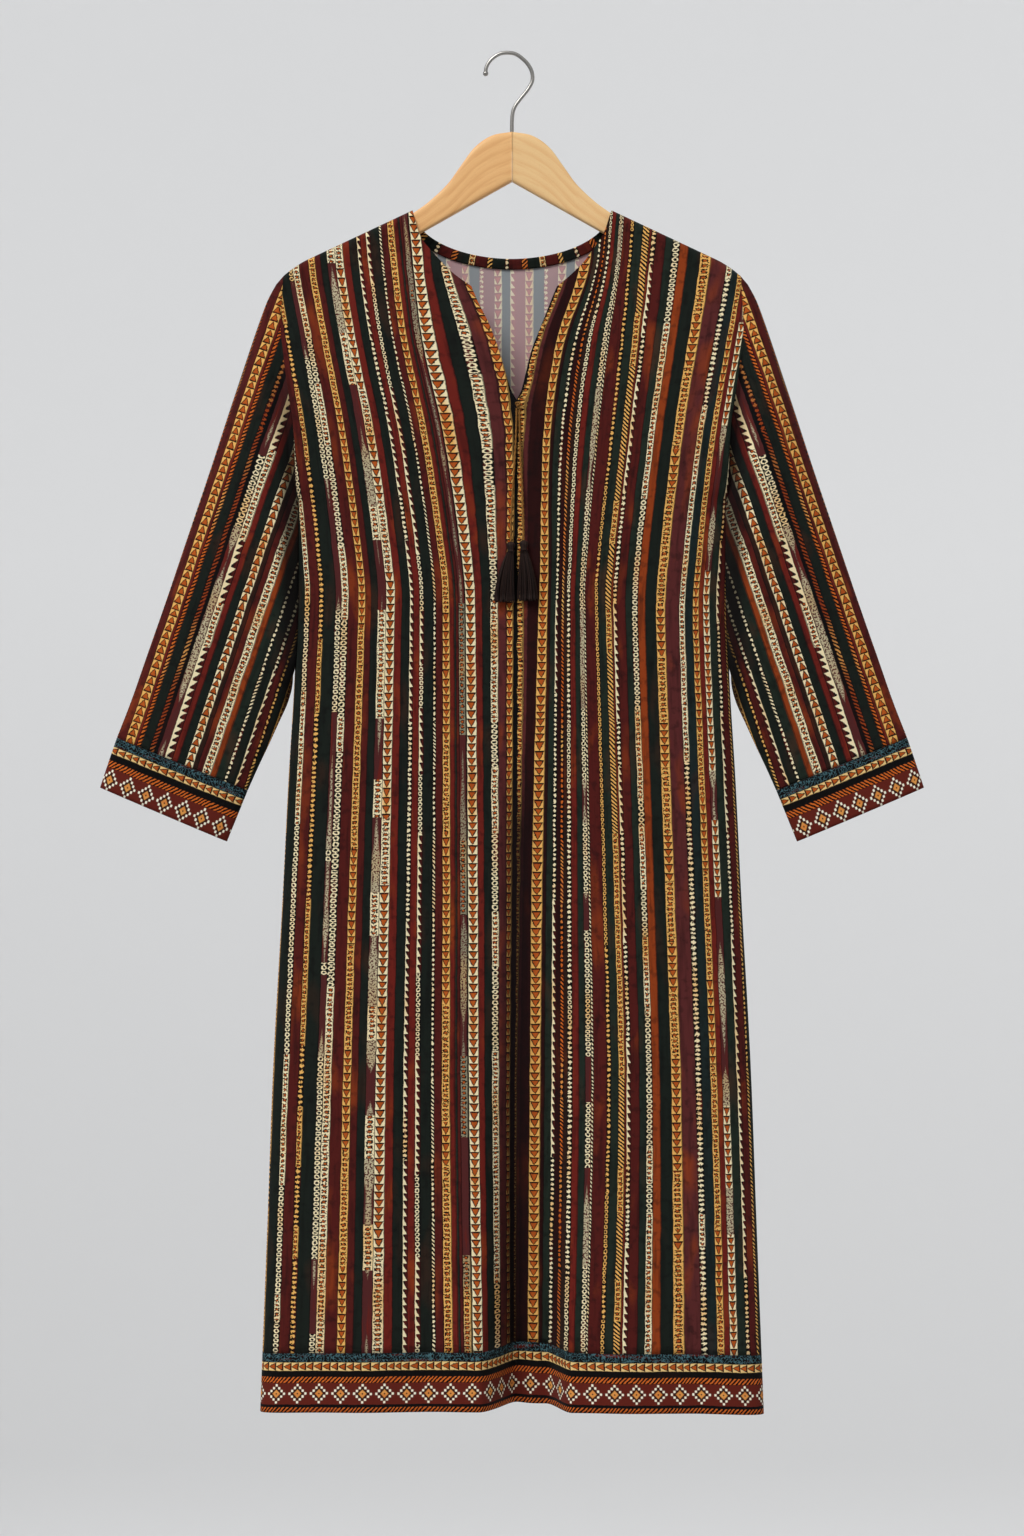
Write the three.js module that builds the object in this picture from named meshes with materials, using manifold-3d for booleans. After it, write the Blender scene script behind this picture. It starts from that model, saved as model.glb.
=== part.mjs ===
// Tunic dress on a wooden hanger, as one rigid body.
// Millimetres, +Z up, the front of the garment towards -Y. The origin lies on the rail that carries
// the hook, so the whole part hangs below it. Every cloth piece is a closed wall: a grid of outer
// points worked out from the tables below, and the same grid moved in by the cloth's thickness.

import * as THREE from 'three';
import Module from 'manifold-3d';
import { mergeVertices } from 'three/addons/utils/BufferGeometryUtils.js';

const wasm = await Module();
wasm.setup();

// Cloth and seams
const CLOTH = 1.4;
const BINDING_CLOTH = 1.0;
const SEAM_GAP = 0.3;
const HALF_SEAM = SEAM_GAP / 2;

// Shoulder line: straight from the neck point, then rounding down to the shoulder point
const NECK_HALF = 100;
const NECK_POINT_Z = -156.6;
const SHOULDER_HALF = 229.3;
const SHOULDER_SLOPE = 0.47;
const SHOULDER_BEND_START = 205;
const SHOULDER_BEND = 0.0083;
const RIDGE_RADIUS = 8.5;

// Armhole, hem and the border along it
const UNDERARM_Z = -448;
const ARMHOLE_DEPTH = 22;
const HEM_Z = -1361.6;
const BORDER_HEIGHT = 59.3;
const HEM_SIDE_DROP = 4;
const HEM_TILT = 1.2;
const BACK_NECK_DROP = 47.5;

// Exponents of the rounded sections: of the body at the shoulder and below the underarm, and of the sleeves
const SHOULDER_ROUNDNESS = 16;
const SIDE_ROUNDNESS = 4;
const SLEEVE_ROUNDNESS = 2.5;

// Half width of the body at each height
const BODY_SIDES = [
  { z: -222, half: 229.3 },
  { z: -270, half: 231.5 },
  { z: -307, half: 228.5 },
  { z: -340, half: 224 },
  { z: -377, half: 218.8 },
  { z: -448, half: 216.3 },
  { z: -549, half: 216.3 },
  { z: -629, half: 218.5 },
  { z: -730, half: 224.5 },
  { z: -850, half: 230.5 },
  { z: -1011, half: 239.5 },
  { z: -1171, half: 245.5 },
  { z: -1366, half: 253 },
];

// How far the front and the back stand off the hanger's plane, by the drop below the shoulder line
const FULLNESS = [
  { drop: 0, front: 0, back: 0 },
  { drop: 30, front: 1.5, back: 2.5 },
  { drop: 70, front: 8, back: 9 },
  { drop: 130, front: 15, back: 16 },
  { drop: 220, front: 21, back: 22 },
  { drop: 400, front: 24, back: 25 },
  { drop: 1200, front: 26, back: 28 },
];

// Front neckline from the left neck point to the right one, with the open slit in the middle
const NECKLINE = [
  { x: -100, z: NECK_POINT_Z },
  { x: -93, z: -181.7 },
  { x: -80.4, z: -199.2 },
  { x: -60.5, z: -220.7 },
  { x: -40.6, z: -235.7 },
  { x: -34.5, z: -250.3 },
  { x: -21.5, z: -277 },
  { x: -11, z: -307 },
  { x: -1.5, z: -339 },
  { x: 4.5, z: -350 },
  { x: 9.5, z: -340 },
  { x: 19, z: -301.8 },
  { x: 27, z: -281 },
  { x: 39.8, z: -248.2 },
  { x: 45, z: -235.7 },
  { x: 57.3, z: -225.2 },
  { x: 72.6, z: -209.7 },
  { x: 86.4, z: -189.7 },
  { x: 92.5, z: -180 },
  { x: 100, z: NECK_POINT_Z },
];

// Columns of the front and back grids, as distances from the middle at the shoulder
const FRONT_NECK_COLUMNS = [
  -99.4, -98.4, -96, -93, -87, -80.4, -70, -60.5, -50, -40.6, -34.5, -28, -21.5, -16, -11, -6, -1.5, 4.5,
  9.5, 14, 19, 27, 34, 39.8, 45, 51, 57.3, 65, 72.6, 80, 86.4, 92.5, 96, 98.4, 99.4,
];
const SHOULDER_COLUMNS = [NECK_HALF, 122, 150, 178, 202, 215, 223.5, SHOULDER_HALF];
const BACK_NECK_COLUMNS = [0, 20, 38, 54, 68, 79, 87, 93, 97, 99, 99.8];

// Rows of the grids: shares of the way from the top edge down to the underarm, then to the border
const ARMHOLE_ROWS = [0, 0.008, 0.025, 0.06, 0.12, 0.21, 0.32, 0.45, 0.58, 0.71, 0.84, 0.945, 1];
const RIDGE_ROWS = 3;
const FRONT_SKIRT_ROWS = 11;
const BACK_SKIRT_ROWS = 9;
const BORDER_ROWS = 2;

// The deep fold at the front of the hem: where its two walls start and end, and how far it goes in
const HEM_FOLD = { leftFrom: -34, leftTo: -1, rightFrom: 40, rightTo: 64, depth: 52 };
const HEM_FOLD_TOP = -900;
const HEM_FOLD_RISE = 1.25;

// Soft upright folds: middle at the hem, lean per mm of height, half width, height, and where it fades out
const SOFT_FOLDS = [
  { x: -150, lean: 0.05, reach: 34, height: 3.5, top: -620 },
  { x: -78, lean: 0.02, reach: 26, height: -3, top: -760 },
  { x: 118, lean: -0.03, reach: 30, height: 3.5, top: -700 },
  { x: 186, lean: -0.06, reach: 26, height: -3, top: -560 },
];

// Sleeve sections from the armhole to the cuff: the outer and inner edge points and the half depth
const SLEEVE_SECTIONS = [
  { outX: 237, outZ: -231, inX: 218, inZ: -470, depth: 17.5 },
  { outX: 245.4, outZ: -246.7, inX: 218.6, inZ: -500, depth: 20 },
  { outX: 253, outZ: -266.8, inX: 219, inZ: -532, depth: 25 },
  { outX: 262, outZ: -293, inX: 219.4, inZ: -562, depth: 28 },
  { outX: 272, outZ: -323, inX: 219.8, inZ: -590, depth: 29 },
  { outX: 285, outZ: -362, inX: 220.3, inZ: -614, depth: 28 },
  { outX: 303, outZ: -417, inX: 220.8, inZ: -634, depth: 25 },
  { outX: 324, outZ: -479, inX: 225.5, inZ: -652, depth: 22 },
  { outX: 347.5, outZ: -548.4, inX: 234.5, inZ: -672, depth: 18.5 },
  { outX: 368, outZ: -607, inX: 245, inZ: -695, depth: 15 },
  { outX: 383, outZ: -650, inX: 255, inZ: -716, depth: 12.5 },
  { outX: 397.3, outZ: -686.7, inX: 265.7, inZ: -739.8, depth: 10.5 },
];
const CUFF_SECTIONS = [
  { outX: 397.4, outZ: -687, inX: 265.8, inZ: -740.1, depth: 10.5 },
  { outX: 406, outZ: -712, inX: 276.2, inZ: -765.7, depth: 9.8 },
  { outX: 414.3, outZ: -737, inX: 286.6, inZ: -791.3, depth: 9 },
];

// Binding folded over the back neck edge
const BINDING_LEG = 9;
const BINDING_SLOT = 0.35;
const BINDING_HALF = 97;

// Hanger: two arms of flat wood that meet in the middle, and the wire hook
const ARM_THICKNESS = 11;
const ARM_BEVEL = 2.5;
const ARM_TOP = [
  { x: 0, z: -77.8 },
  { x: 21, z: -82 },
  { x: 38, z: -94 },
  { x: 51.8, z: -112.5 },
  { x: 64.4, z: -130 },
  { x: 83.5, z: -148.2 },
  { x: NECK_HALF, z: -160.2 },
];
const ARM_STATIONS = [
  { x: HALF_SEAM, inset: 0 },
  { x: 10, inset: 0 },
  { x: 21, inset: 0 },
  { x: 30, inset: 0 },
  { x: 38, inset: 0 },
  { x: 45, inset: 0 },
  { x: 51.8, inset: 0 },
  { x: 58, inset: 0 },
  { x: 64.4, inset: 0 },
  { x: 73, inset: 0 },
  { x: 83.5, inset: 0 },
  { x: NECK_HALF, inset: 0 },
  { x: 130, inset: 0 },
  { x: 165, inset: 0 },
  { x: 203, inset: 0 },
  { x: 208.5, inset: 1.6 },
  { x: 211, inset: 4.6 },
];
const ARM_UNDERSIDE_Z = -128;
const ARM_UNDERSIDE_SLOPE = 0.564;
const ARM_LOW_X = 94;
const ARM_CLEARANCE = 2.2;
const ARM_TIP_X = 211;
const ARM_TIP_HEIGHT = 17;
const WIRE_RADIUS = 1.95;
const STEM_DEPTH = 20;
const STEM_BORE_RADIUS = 2.4;
const HOOK_TIP_RADIUS = 2.8;
const HOOK_SEGMENTS = 38;

// Middle line of the wire from the hook's tip round the crook and down the stem into the wood
const HOOK_ROUTE = [
  { x: -26.5, z: -18.9 },
  { x: -25.9, z: -13.3 },
  { x: -23, z: -7.4 },
  { x: -18, z: -2.4 },
  { x: -11.5, z: 1.1 },
  { x: -4, z: 1.95 },
  { x: 3.5, z: 0.6 },
  { x: 10.5, z: -4 },
  { x: 16.5, z: -10.4 },
  { x: 20.1, z: -17.9 },
  { x: 20.5, z: -25.9 },
  { x: 17, z: -33.5 },
  { x: 12.5, z: -39.5 },
  { x: 7.5, z: -45.6 },
  { x: 3, z: -52.1 },
  { x: 0.8, z: -58.5 },
  { x: 0, z: -68 },
  { x: 0, z: -82 },
  { x: 0, z: -97.2 },
];

// Ties and tassels at the foot of the slit
const KNOT = { x: 6, z: -355.2, radius: 3.1 };
const TIE_RADIUS = 1.1;
const TIE_SEGMENTS = 24;
const TIE_STATIONS = [0, 0.2, 0.4, 0.6, 0.8, 0.92, 1];
const TASSEL_HEAD_RADIUS = 4.4;
const TASSEL_HEAD_HEIGHT = 10;
const TASSEL_SKIRT = 51;

// Half outline of a tassel's head: the share of its radius and of its half height
const TASSEL_HEAD_OUTLINE = [
  { radius: 0, height: -1 },
  { radius: 0.74, height: -1 },
  { radius: 1, height: -0.4 },
  { radius: 0.95, height: 0.3 },
  { radius: 0.6, height: 0.85 },
  { radius: 0, height: 1 },
];

// Strands: how deep they are rooted in the head, how uneven their ends are, and their two oval rings
const STRAND_RADIUS = 0.55;
const STRAND_ROOT = 1;
const STRAND_UNEVEN = 1.5;
const STRAND_STATIONS = [0, 0.35, 0.7, 1];
const STRAND_CORNERS = [0, 1, 2];
const STRAND_RINGS = [
  { count: 12, rootX: 3.1, rootY: 2.7, tipX: 9.2, tipY: 5 },
  { count: 6, rootX: 1.4, rootY: 1.2, tipX: 4.8, tipY: 2.2 },
];
const TASSELS = [
  { side: 'left', tieX: 4.6, headX: -1.2, tipX: -6.3, headZ: -492 },
  { side: 'right', tieX: 7.4, headX: 11.6, tipX: 15.1, headZ: -490.5 },
];

const clamp01 = (value) => Math.min(1, Math.max(0, value));
const mix = (a, b, share) => a + (b - a) * share;
const smoothStep = (value) => {
  const t = clamp01(value);
  return t * t * (3 - 2 * t);
};

// Reads a column of a table as a smooth curve through its rows (cubic, with each row's own slope)
function readTable(rows, key, column, at) {
  const descending = rows[0][key] > rows[rows.length - 1][key];
  const ordered = descending ? [...rows].reverse() : rows;
  if (at <= ordered[0][key]) return ordered[0][column];
  const last = ordered.length - 1;
  if (at >= ordered[last][key]) return ordered[last][column];
  const i = ordered.findIndex((row) => row[key] > at) - 1;
  const slope = (j) => {
    const before = ordered[Math.max(0, j - 1)];
    const after = ordered[Math.min(last, j + 1)];
    return (after[column] - before[column]) / (after[key] - before[key]);
  };
  const span = ordered[i + 1][key] - ordered[i][key];
  const t = (at - ordered[i][key]) / span;
  const start = ordered[i][column];
  const end = ordered[i + 1][column];
  const hold = (1 + 2 * t) * (1 - t) * (1 - t) * start + t * t * (3 - 2 * t) * end;
  return hold + span * t * (1 - t) * ((1 - t) * slope(i) - t * slope(i + 1));
}

// Reads an outline of straight pieces at x
function readOutline(points, x) {
  const i = Math.max(1, points.findIndex((point) => point.x >= x));
  const from = points[i - 1];
  const to = points[i];
  return mix(from.z, to.z, (x - from.x) / (to.x - from.x));
}

const halfWidth = (z) => readTable(BODY_SIDES, 'z', 'half', z);

// Height of the shoulder ridge, carried on upwards over the neck so that depths stay even there
function ridgeHeight(x) {
  const out = Math.abs(x);
  const bent = Math.max(0, out - SHOULDER_BEND_START);
  return NECK_POINT_Z - SHOULDER_SLOPE * (out - NECK_HALF) - SHOULDER_BEND * bent * bent;
}

const SHOULDER_Z = ridgeHeight(SHOULDER_HALF);

// Height of a superellipse over its middle: 1 at 0, and 0 at 1
const bulge = (share, roundness) => Math.pow(Math.max(0, 1 - Math.pow(share, roundness)), 1 / roundness);

// How far a panel stands off the hanger's plane: a round ridge that grows to the panel's fullness
function standOff(panel, drop) {
  const inRidge = RIDGE_RADIUS - Math.min(drop, RIDGE_RADIUS);
  const ridge = Math.sqrt(RIDGE_RADIUS * RIDGE_RADIUS - inRidge * inRidge);
  return ridge + readTable(FULLNESS, 'drop', panel, drop);
}

// Half depth of the armhole: none at the shoulder point and at the underarm
function armholeDepth(z) {
  const share = (SHOULDER_Z - z) / (SHOULDER_Z - UNDERARM_Z);
  if (share <= 0 || share >= 1) return 0;
  const oval = ARMHOLE_DEPTH * bulge(Math.abs(1 - 2 * share), SLEEVE_ROUNDNESS);
  return Math.min(oval, standOff('front', SHOULDER_Z - z));
}

// Drop of the hem and of the seam above its border, towards the sides and to one side
function hemSag(x, z) {
  const share = x / halfWidth(z);
  return -HEM_SIDE_DROP * Math.pow(Math.abs(share), 4) - HEM_TILT * share;
}

// How far the deep fold at the hem goes in at a point
function hemFold(x, z) {
  const intoLeft = smoothStep((x - HEM_FOLD.leftFrom) / (HEM_FOLD.leftTo - HEM_FOLD.leftFrom));
  const intoRight = smoothStep((HEM_FOLD.rightTo - x) / (HEM_FOLD.rightTo - HEM_FOLD.rightFrom));
  const growth = Math.pow(clamp01((HEM_FOLD_TOP - z) / (HEM_FOLD_TOP - HEM_Z)), HEM_FOLD_RISE);
  return HEM_FOLD.depth * intoLeft * intoRight * growth;
}

// Sum of the soft folds: each a bell across x that leans and fades upwards
function softFolds(x, z) {
  return SOFT_FOLDS.reduce((sum, fold) => {
    const middle = fold.x + fold.lean * (z - HEM_Z);
    const across = (x - middle) / fold.reach;
    const growth = smoothStep((fold.top - z) / (fold.top - HEM_Z));
    return sum + fold.height * growth * Math.exp(-across * across);
  }, 0);
}

// Outer surface of a panel at x and z: its stand-off, drawn in towards the armhole or the side seam
// by a superellipse, with the folds on top
function panelSurface(panel, x, z) {
  const full = standOff(panel, Math.max(0, ridgeHeight(x) - z));
  const edge = armholeDepth(z);
  const share = Math.min(1, Math.abs(x) / halfWidth(z));
  const below = smoothStep((SHOULDER_Z - z) / (SHOULDER_Z - UNDERARM_Z));
  const across = bulge(share, mix(SHOULDER_ROUNDNESS, SIDE_ROUNDNESS, below));
  const depth = HALF_SEAM + edge + (full - edge) * across;
  if (panel === 'back') return depth + softFolds(-x, z) * across;
  return -depth - softFolds(x, z) * across + hemFold(x, z);
}

const point = (x, y, z) => new THREE.Vector3(x, y, z);
const panelPoint = (panel, x, z) => point(x, panelSurface(panel, x, z), z);

const frontTop = (x) => (Math.abs(x) < NECK_HALF ? readOutline(NECKLINE, x) : ridgeHeight(x));

function backTop(x) {
  if (Math.abs(x) >= NECK_HALF) return ridgeHeight(x);
  return NECK_POINT_Z - BACK_NECK_DROP * Math.sqrt(1 - (x / NECK_HALF) ** 2);
}

// Points of one panel, row by row from its top edge to the seam above the border
function panelGrid(panel, columns, topEdge, skirtRows) {
  const along = columns.map((column) => {
    const across = (z) => column * (halfWidth(z) / SHOULDER_HALF);
    let top = topEdge(column);
    for (let turn = 0; turn < 6; turn += 1) top = topEdge(Math.abs(column) < NECK_HALF ? across(top) : column);
    const foot = HEM_Z + BORDER_HEIGHT + hemSag(across(HEM_Z), HEM_Z);
    const upper = ARMHOLE_ROWS.map((share) => mix(top, UNDERARM_Z, share));
    const lower = Array.from({ length: skirtRows }, (_, i) => mix(UNDERARM_Z, foot, (i + 1) / skirtRows));
    return [...upper, ...lower].map((z, row) => {
      const x = Math.abs(column) >= NECK_HALF && row === 0 ? column : across(z);
      return panelPoint(panel, x, z);
    });
  });
  return along[0].map((_, row) => along.map((line) => line[row]));
}

// Surface normals of a grid by the cross product of its neighbours' differences
function gridNormals(grid, outward, wraps) {
  const rows = grid.length;
  const cols = grid[0].length;
  return grid.map((line, r) => line.map((_, c) => {
    const left = wraps ? (c + cols - 1) % cols : Math.max(0, c - 1);
    const right = wraps ? (c + 1) % cols : Math.min(cols - 1, c + 1);
    const across = grid[r][right].clone().sub(grid[r][left]);
    const down = grid[Math.min(rows - 1, r + 1)][c].clone().sub(grid[Math.max(0, r - 1)][c]);
    return across.cross(down).normalize().multiplyScalar(outward);
  }));
}

// Closed wall between an outer grid and an inner one, with rims on every open edge
function wallGeometry(outer, inner, wraps) {
  const rows = outer.length;
  const cols = outer[0].length;
  const positions = [...outer.flat(), ...inner.flat()].flatMap((p) => [p.x, p.y, p.z]);
  const out = (r, c) => r * cols + (c % cols);
  const ins = (r, c) => rows * cols + out(r, c);
  const faces = [];
  const quad = (a, b, c, d) => faces.push(a, b, c, a, c, d);
  const lastCol = wraps ? cols : cols - 1;
  for (let c = 0; c < lastCol; c += 1) {
    for (let r = 0; r < rows - 1; r += 1) {
      quad(out(r, c), out(r + 1, c), out(r + 1, c + 1), out(r, c + 1));
      quad(ins(r, c), ins(r, c + 1), ins(r + 1, c + 1), ins(r + 1, c));
    }
    quad(out(0, c), out(0, c + 1), ins(0, c + 1), ins(0, c));
    quad(out(rows - 1, c + 1), out(rows - 1, c), ins(rows - 1, c), ins(rows - 1, c + 1));
  }
  for (let r = 0; r < rows - 1 && !wraps; r += 1) {
    quad(out(r + 1, 0), out(r, 0), ins(r, 0), ins(r + 1, 0));
    quad(out(r, cols - 1), out(r + 1, cols - 1), ins(r + 1, cols - 1), ins(r, cols - 1));
  }
  return closedGeometry(positions, faces);
}

// Geometry from points and faces, turned so that its faces point out
function closedGeometry(positions, faces) {
  const at = (i) => point(positions[3 * i], positions[3 * i + 1], positions[3 * i + 2]);
  let volume = 0;
  for (let i = 0; i < faces.length; i += 3) {
    volume += at(faces[i]).dot(at(faces[i + 1]).cross(at(faces[i + 2])));
  }
  if (volume < 0) faces.reverse();
  const geometry = new THREE.BufferGeometry();
  geometry.setAttribute('position', new THREE.Float32BufferAttribute(positions, 3));
  geometry.setIndex(faces);
  return geometry;
}

// Wall of even thickness under a grid. keepClear may move an inner point off a neighbour's side of a seam.
function clothWall(grid, outward, wraps, keepClear = () => {}) {
  const normals = gridNormals(grid, outward, wraps);
  const inner = grid.map((line, r) => line.map((p, c) => {
    const moved = p.clone().addScaledVector(normals[r][c], -CLOTH);
    keepClear(moved, p, r, c);
    return moved;
  }));
  return wallGeometry(grid, inner, wraps);
}

// Tube through rings of points. Each end is closed by the same strips of four corners.
function solidTube(rings, strips) {
  const sides = rings[0].length;
  const positions = rings.flat().flatMap((p) => [p.x, p.y, p.z]);
  const faces = [];
  for (let r = 0; r < rings.length - 1; r += 1) {
    for (let s = 0; s < sides; s += 1) {
      const a = r * sides + s;
      const b = r * sides + ((s + 1) % sides);
      faces.push(a, b, b + sides, a, b + sides, a + sides);
    }
  }
  const end = (rings.length - 1) * sides;
  strips.forEach(([a, b, c, d]) => {
    faces.push(a, c, b, end + a, end + b, end + c);
    if (d !== undefined) faces.push(a, d, c, end + a, end + c, end + d);
  });
  return closedGeometry(positions, faces);
}

// Joins and cuts of closed geometries
function toSolid(geometry) {
  const bare = geometry.clone();
  bare.deleteAttribute('normal');
  bare.deleteAttribute('uv');
  const merged = mergeVertices(bare, 1e-4);
  const vertProperties = new Float32Array(merged.attributes.position.array);
  const triVerts = new Uint32Array(merged.index.array);
  return new wasm.Manifold(new wasm.Mesh({ numProp: 3, vertProperties, triVerts }));
}

function toGeometry(solid) {
  const mesh = solid.getMesh();
  const geometry = new THREE.BufferGeometry();
  geometry.setAttribute('position', new THREE.Float32BufferAttribute(mesh.vertProperties, 3));
  geometry.setIndex([...mesh.triVerts]);
  return geometry;
}

// Front and back
const mirrored = SHOULDER_COLUMNS.map((x) => -x).reverse();
const frontColumns = [...mirrored, ...FRONT_NECK_COLUMNS, ...SHOULDER_COLUMNS];
const backNeck = [...BACK_NECK_COLUMNS.slice(1).map((x) => -x).reverse(), ...BACK_NECK_COLUMNS];
const backColumns = [...mirrored, ...backNeck, ...SHOULDER_COLUMNS];

// Keeps a panel's inner points on its own side of the shoulder and side seams
const onOwnSide = (facing, lastCol) => (moved, p, r, c) => {
  const onSeam = r < RIDGE_ROWS || c === 0 || c === lastCol;
  if (onSeam) moved.y = facing * Math.max(HALF_SEAM, facing * moved.y);
};

function frontPanel() {
  const grid = panelGrid('front', frontColumns, frontTop, FRONT_SKIRT_ROWS);
  return clothWall(grid, -1, false, onOwnSide(-1, frontColumns.length - 1));
}

function backPanel() {
  const grid = panelGrid('back', backColumns, backTop, BACK_SKIRT_ROWS);
  return clothWall(grid, 1, false, onOwnSide(1, backColumns.length - 1));
}

// Border sewn along the hem: one tube that follows the front and then the back
function hemBorder() {
  const loop = [
    ...frontColumns.map((column) => ({ panel: 'front', column })),
    ...backColumns.slice(1, -1).reverse().map((column) => ({ panel: 'back', column })),
  ];
  const grid = Array.from({ length: BORDER_ROWS + 1 }, (_, row) => loop.map(({ panel, column }) => {
    const share = row / BORDER_ROWS;
    const x = column * (halfWidth(HEM_Z) / SHOULDER_HALF);
    const top = HEM_Z + BORDER_HEIGHT - SEAM_GAP;
    const z = mix(top, HEM_Z, share) + hemSag(x, HEM_Z);
    const onSide = Math.abs(column) === SHOULDER_HALF;
    const half = halfWidth(z) / halfWidth(HEM_Z);
    return onSide ? point(x * half, 0, z) : panelPoint(panel, x * half, z);
  }));
  return clothWall(grid, -1, true);
}

// One section of a sleeve: the armhole's shares run down its front and back up behind
function sleeveRing(section) {
  const side = (share, facing) => {
    const along = 1 - 2 * share;
    const depth = section.depth * bulge(Math.abs(along), SLEEVE_ROUNDNESS);
    const x = mix(section.outX, section.inX, share);
    return point(x, facing * depth, mix(section.outZ, section.inZ, share));
  };
  const down = ARMHOLE_ROWS.map((share) => side(share, -1));
  const up = ARMHOLE_ROWS.slice(1, -1).reverse().map((share) => side(share, 1));
  return [...down, ...up];
}

// The sleeve's first ring, along the armhole of the two panels
function armholeRing() {
  const side = (share, facing) => {
    const z = mix(SHOULDER_Z, UNDERARM_Z, share);
    const depth = share === 0 || share === 1 ? 0 : HALF_SEAM + armholeDepth(z);
    return point(halfWidth(z) + SEAM_GAP, facing * depth, z);
  };
  const down = ARMHOLE_ROWS.map((share) => side(share, -1));
  const up = ARMHOLE_ROWS.slice(1, -1).reverse().map((share) => side(share, 1));
  return [...down, ...up];
}

// Keeps the inner points of the sleeve's first ring outside the armhole seam
function outsideArmhole(moved, p, r) {
  if (r === 0) moved.x = Math.max(moved.x, p.x);
}

function sleeve() {
  return clothWall([armholeRing(), ...SLEEVE_SECTIONS.map(sleeveRing)], 1, true, outsideArmhole);
}

const cuff = () => clothWall(CUFF_SECTIONS.map(sleeveRing), 1, true);

// Binding folded over the back neck edge: a U carried along the edge's own points and normals.
// Each of its ends is three strips: one leg, the fold and the other leg.
function neckBinding() {
  const grid = panelGrid('back', backColumns, backTop, BACK_SKIRT_ROWS);
  const normals = gridNormals(grid, 1, false);
  const stations = backColumns.map((_, c) => c).filter((c) => Math.abs(backColumns[c]) <= BINDING_HALF);
  const rings = stations.map((c) => {
    const edge = grid[0][c];
    const normal = normals[0][c];
    const down = normal.clone().cross(grid[0][c + 1].clone().sub(grid[0][c - 1])).normalize();
    if (down.z > 0) down.negate();
    const outside = BINDING_SLOT + BINDING_CLOTH;
    const legs = [
      [BINDING_LEG, outside], [-outside, outside], [-outside, -CLOTH - outside], [BINDING_LEG, -CLOTH - outside],
      [BINDING_LEG, -CLOTH - BINDING_SLOT], [-BINDING_SLOT, -CLOTH - BINDING_SLOT],
      [-BINDING_SLOT, BINDING_SLOT], [BINDING_LEG, BINDING_SLOT],
    ];
    return legs.map(([along, off]) => edge.clone().addScaledVector(down, along).addScaledVector(normal, off));
  });
  return solidTube(rings, [[0, 1, 6, 7], [1, 2, 5, 6], [2, 3, 4, 5]]);
}

// Top and underside of a hanger arm at x
function armTop(x) {
  if (x >= NECK_HALF) return ridgeHeight(x) - CLOTH - ARM_CLEARANCE;
  return readTable(ARM_TOP, 'x', 'z', x);
}

function armUnderside(x) {
  const straight = ARM_UNDERSIDE_Z - ARM_UNDERSIDE_SLOPE * Math.min(x, ARM_LOW_X);
  if (x <= ARM_LOW_X) return straight;
  const share = (x - ARM_LOW_X) / (ARM_TIP_X - ARM_LOW_X);
  return armTop(x) - mix(armTop(ARM_LOW_X) - straight, ARM_TIP_HEIGHT, share);
}

// Hanger arm: eight-sided upright sections from the middle joint to the rounded tip, bored for the hook
function hangerArm() {
  const half = ARM_THICKNESS / 2;
  const flat = half - ARM_BEVEL;
  const rings = ARM_STATIONS.map(({ x, inset }) => {
    const top = armTop(x) - inset;
    const low = armUnderside(x) + inset;
    const corners = [
      [half, low + ARM_BEVEL], [half, top - ARM_BEVEL], [flat, top], [-flat, top],
      [-half, top - ARM_BEVEL], [-half, low + ARM_BEVEL], [-flat, low], [flat, low],
    ];
    return corners.map(([y, z]) => point(x, y, z));
  });
  const bore = new THREE.CylinderGeometry(STEM_BORE_RADIUS, STEM_BORE_RADIUS, STEM_DEPTH * 2, 16);
  bore.rotateX(Math.PI / 2);
  bore.translate(0, 0, armTop(0));
  const arm = solidTube(rings, [[0, 1, 2, 3], [0, 3, 4, 7], [4, 5, 6, 7]]);
  return toGeometry(toSolid(arm).subtract(toSolid(bore)));
}

// Round rod along a smooth curve through points
function rod(route, radius, steps, curveSegments) {
  const section = new THREE.Shape();
  section.absarc(0, 0, radius, 0, Math.PI * 2);
  const extrudePath = new THREE.CatmullRomCurve3(route, false, 'centripetal');
  return new THREE.ExtrudeGeometry(section, { steps, curveSegments, extrudePath });
}

// Hook: bent wire with a rounded tip
function wireHook() {
  const route = HOOK_ROUTE.map(({ x, z }) => point(x, 0, z));
  const tip = new THREE.SphereGeometry(HOOK_TIP_RADIUS, 12, 8);
  tip.translate(route[0].x, 0, route[0].z);
  return toGeometry(toSolid(rod(route, WIRE_RADIUS, HOOK_SEGMENTS, 5)).add(toSolid(tip)));
}

// Points that lie in front of the front panel, clear of it by a seam's gap
const inFront = (x, z, radius) => point(x, panelSurface('front', x, z) - SEAM_GAP - radius, z);

function tieKnot() {
  const knot = new THREE.SphereGeometry(KNOT.radius, 12, 8);
  const seat = inFront(KNOT.x, KNOT.z, KNOT.radius);
  return knot.translate(seat.x, seat.y, seat.z);
}

// Tie: limp cord from under the knot down to its tassel's head
function tieCord(tassel) {
  const top = KNOT.z - KNOT.radius - SEAM_GAP;
  const foot = tassel.headZ + SEAM_GAP;
  const route = TIE_STATIONS.map((share) => {
    const eased = smoothStep(share);
    const away = mix(TIE_RADIUS, TASSEL_HEAD_RADIUS, eased);
    return inFront(mix(tassel.tieX, tassel.headX, eased), mix(top, foot, share), away);
  });
  return rod(route, TIE_RADIUS, TIE_SEGMENTS, 4);
}

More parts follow.
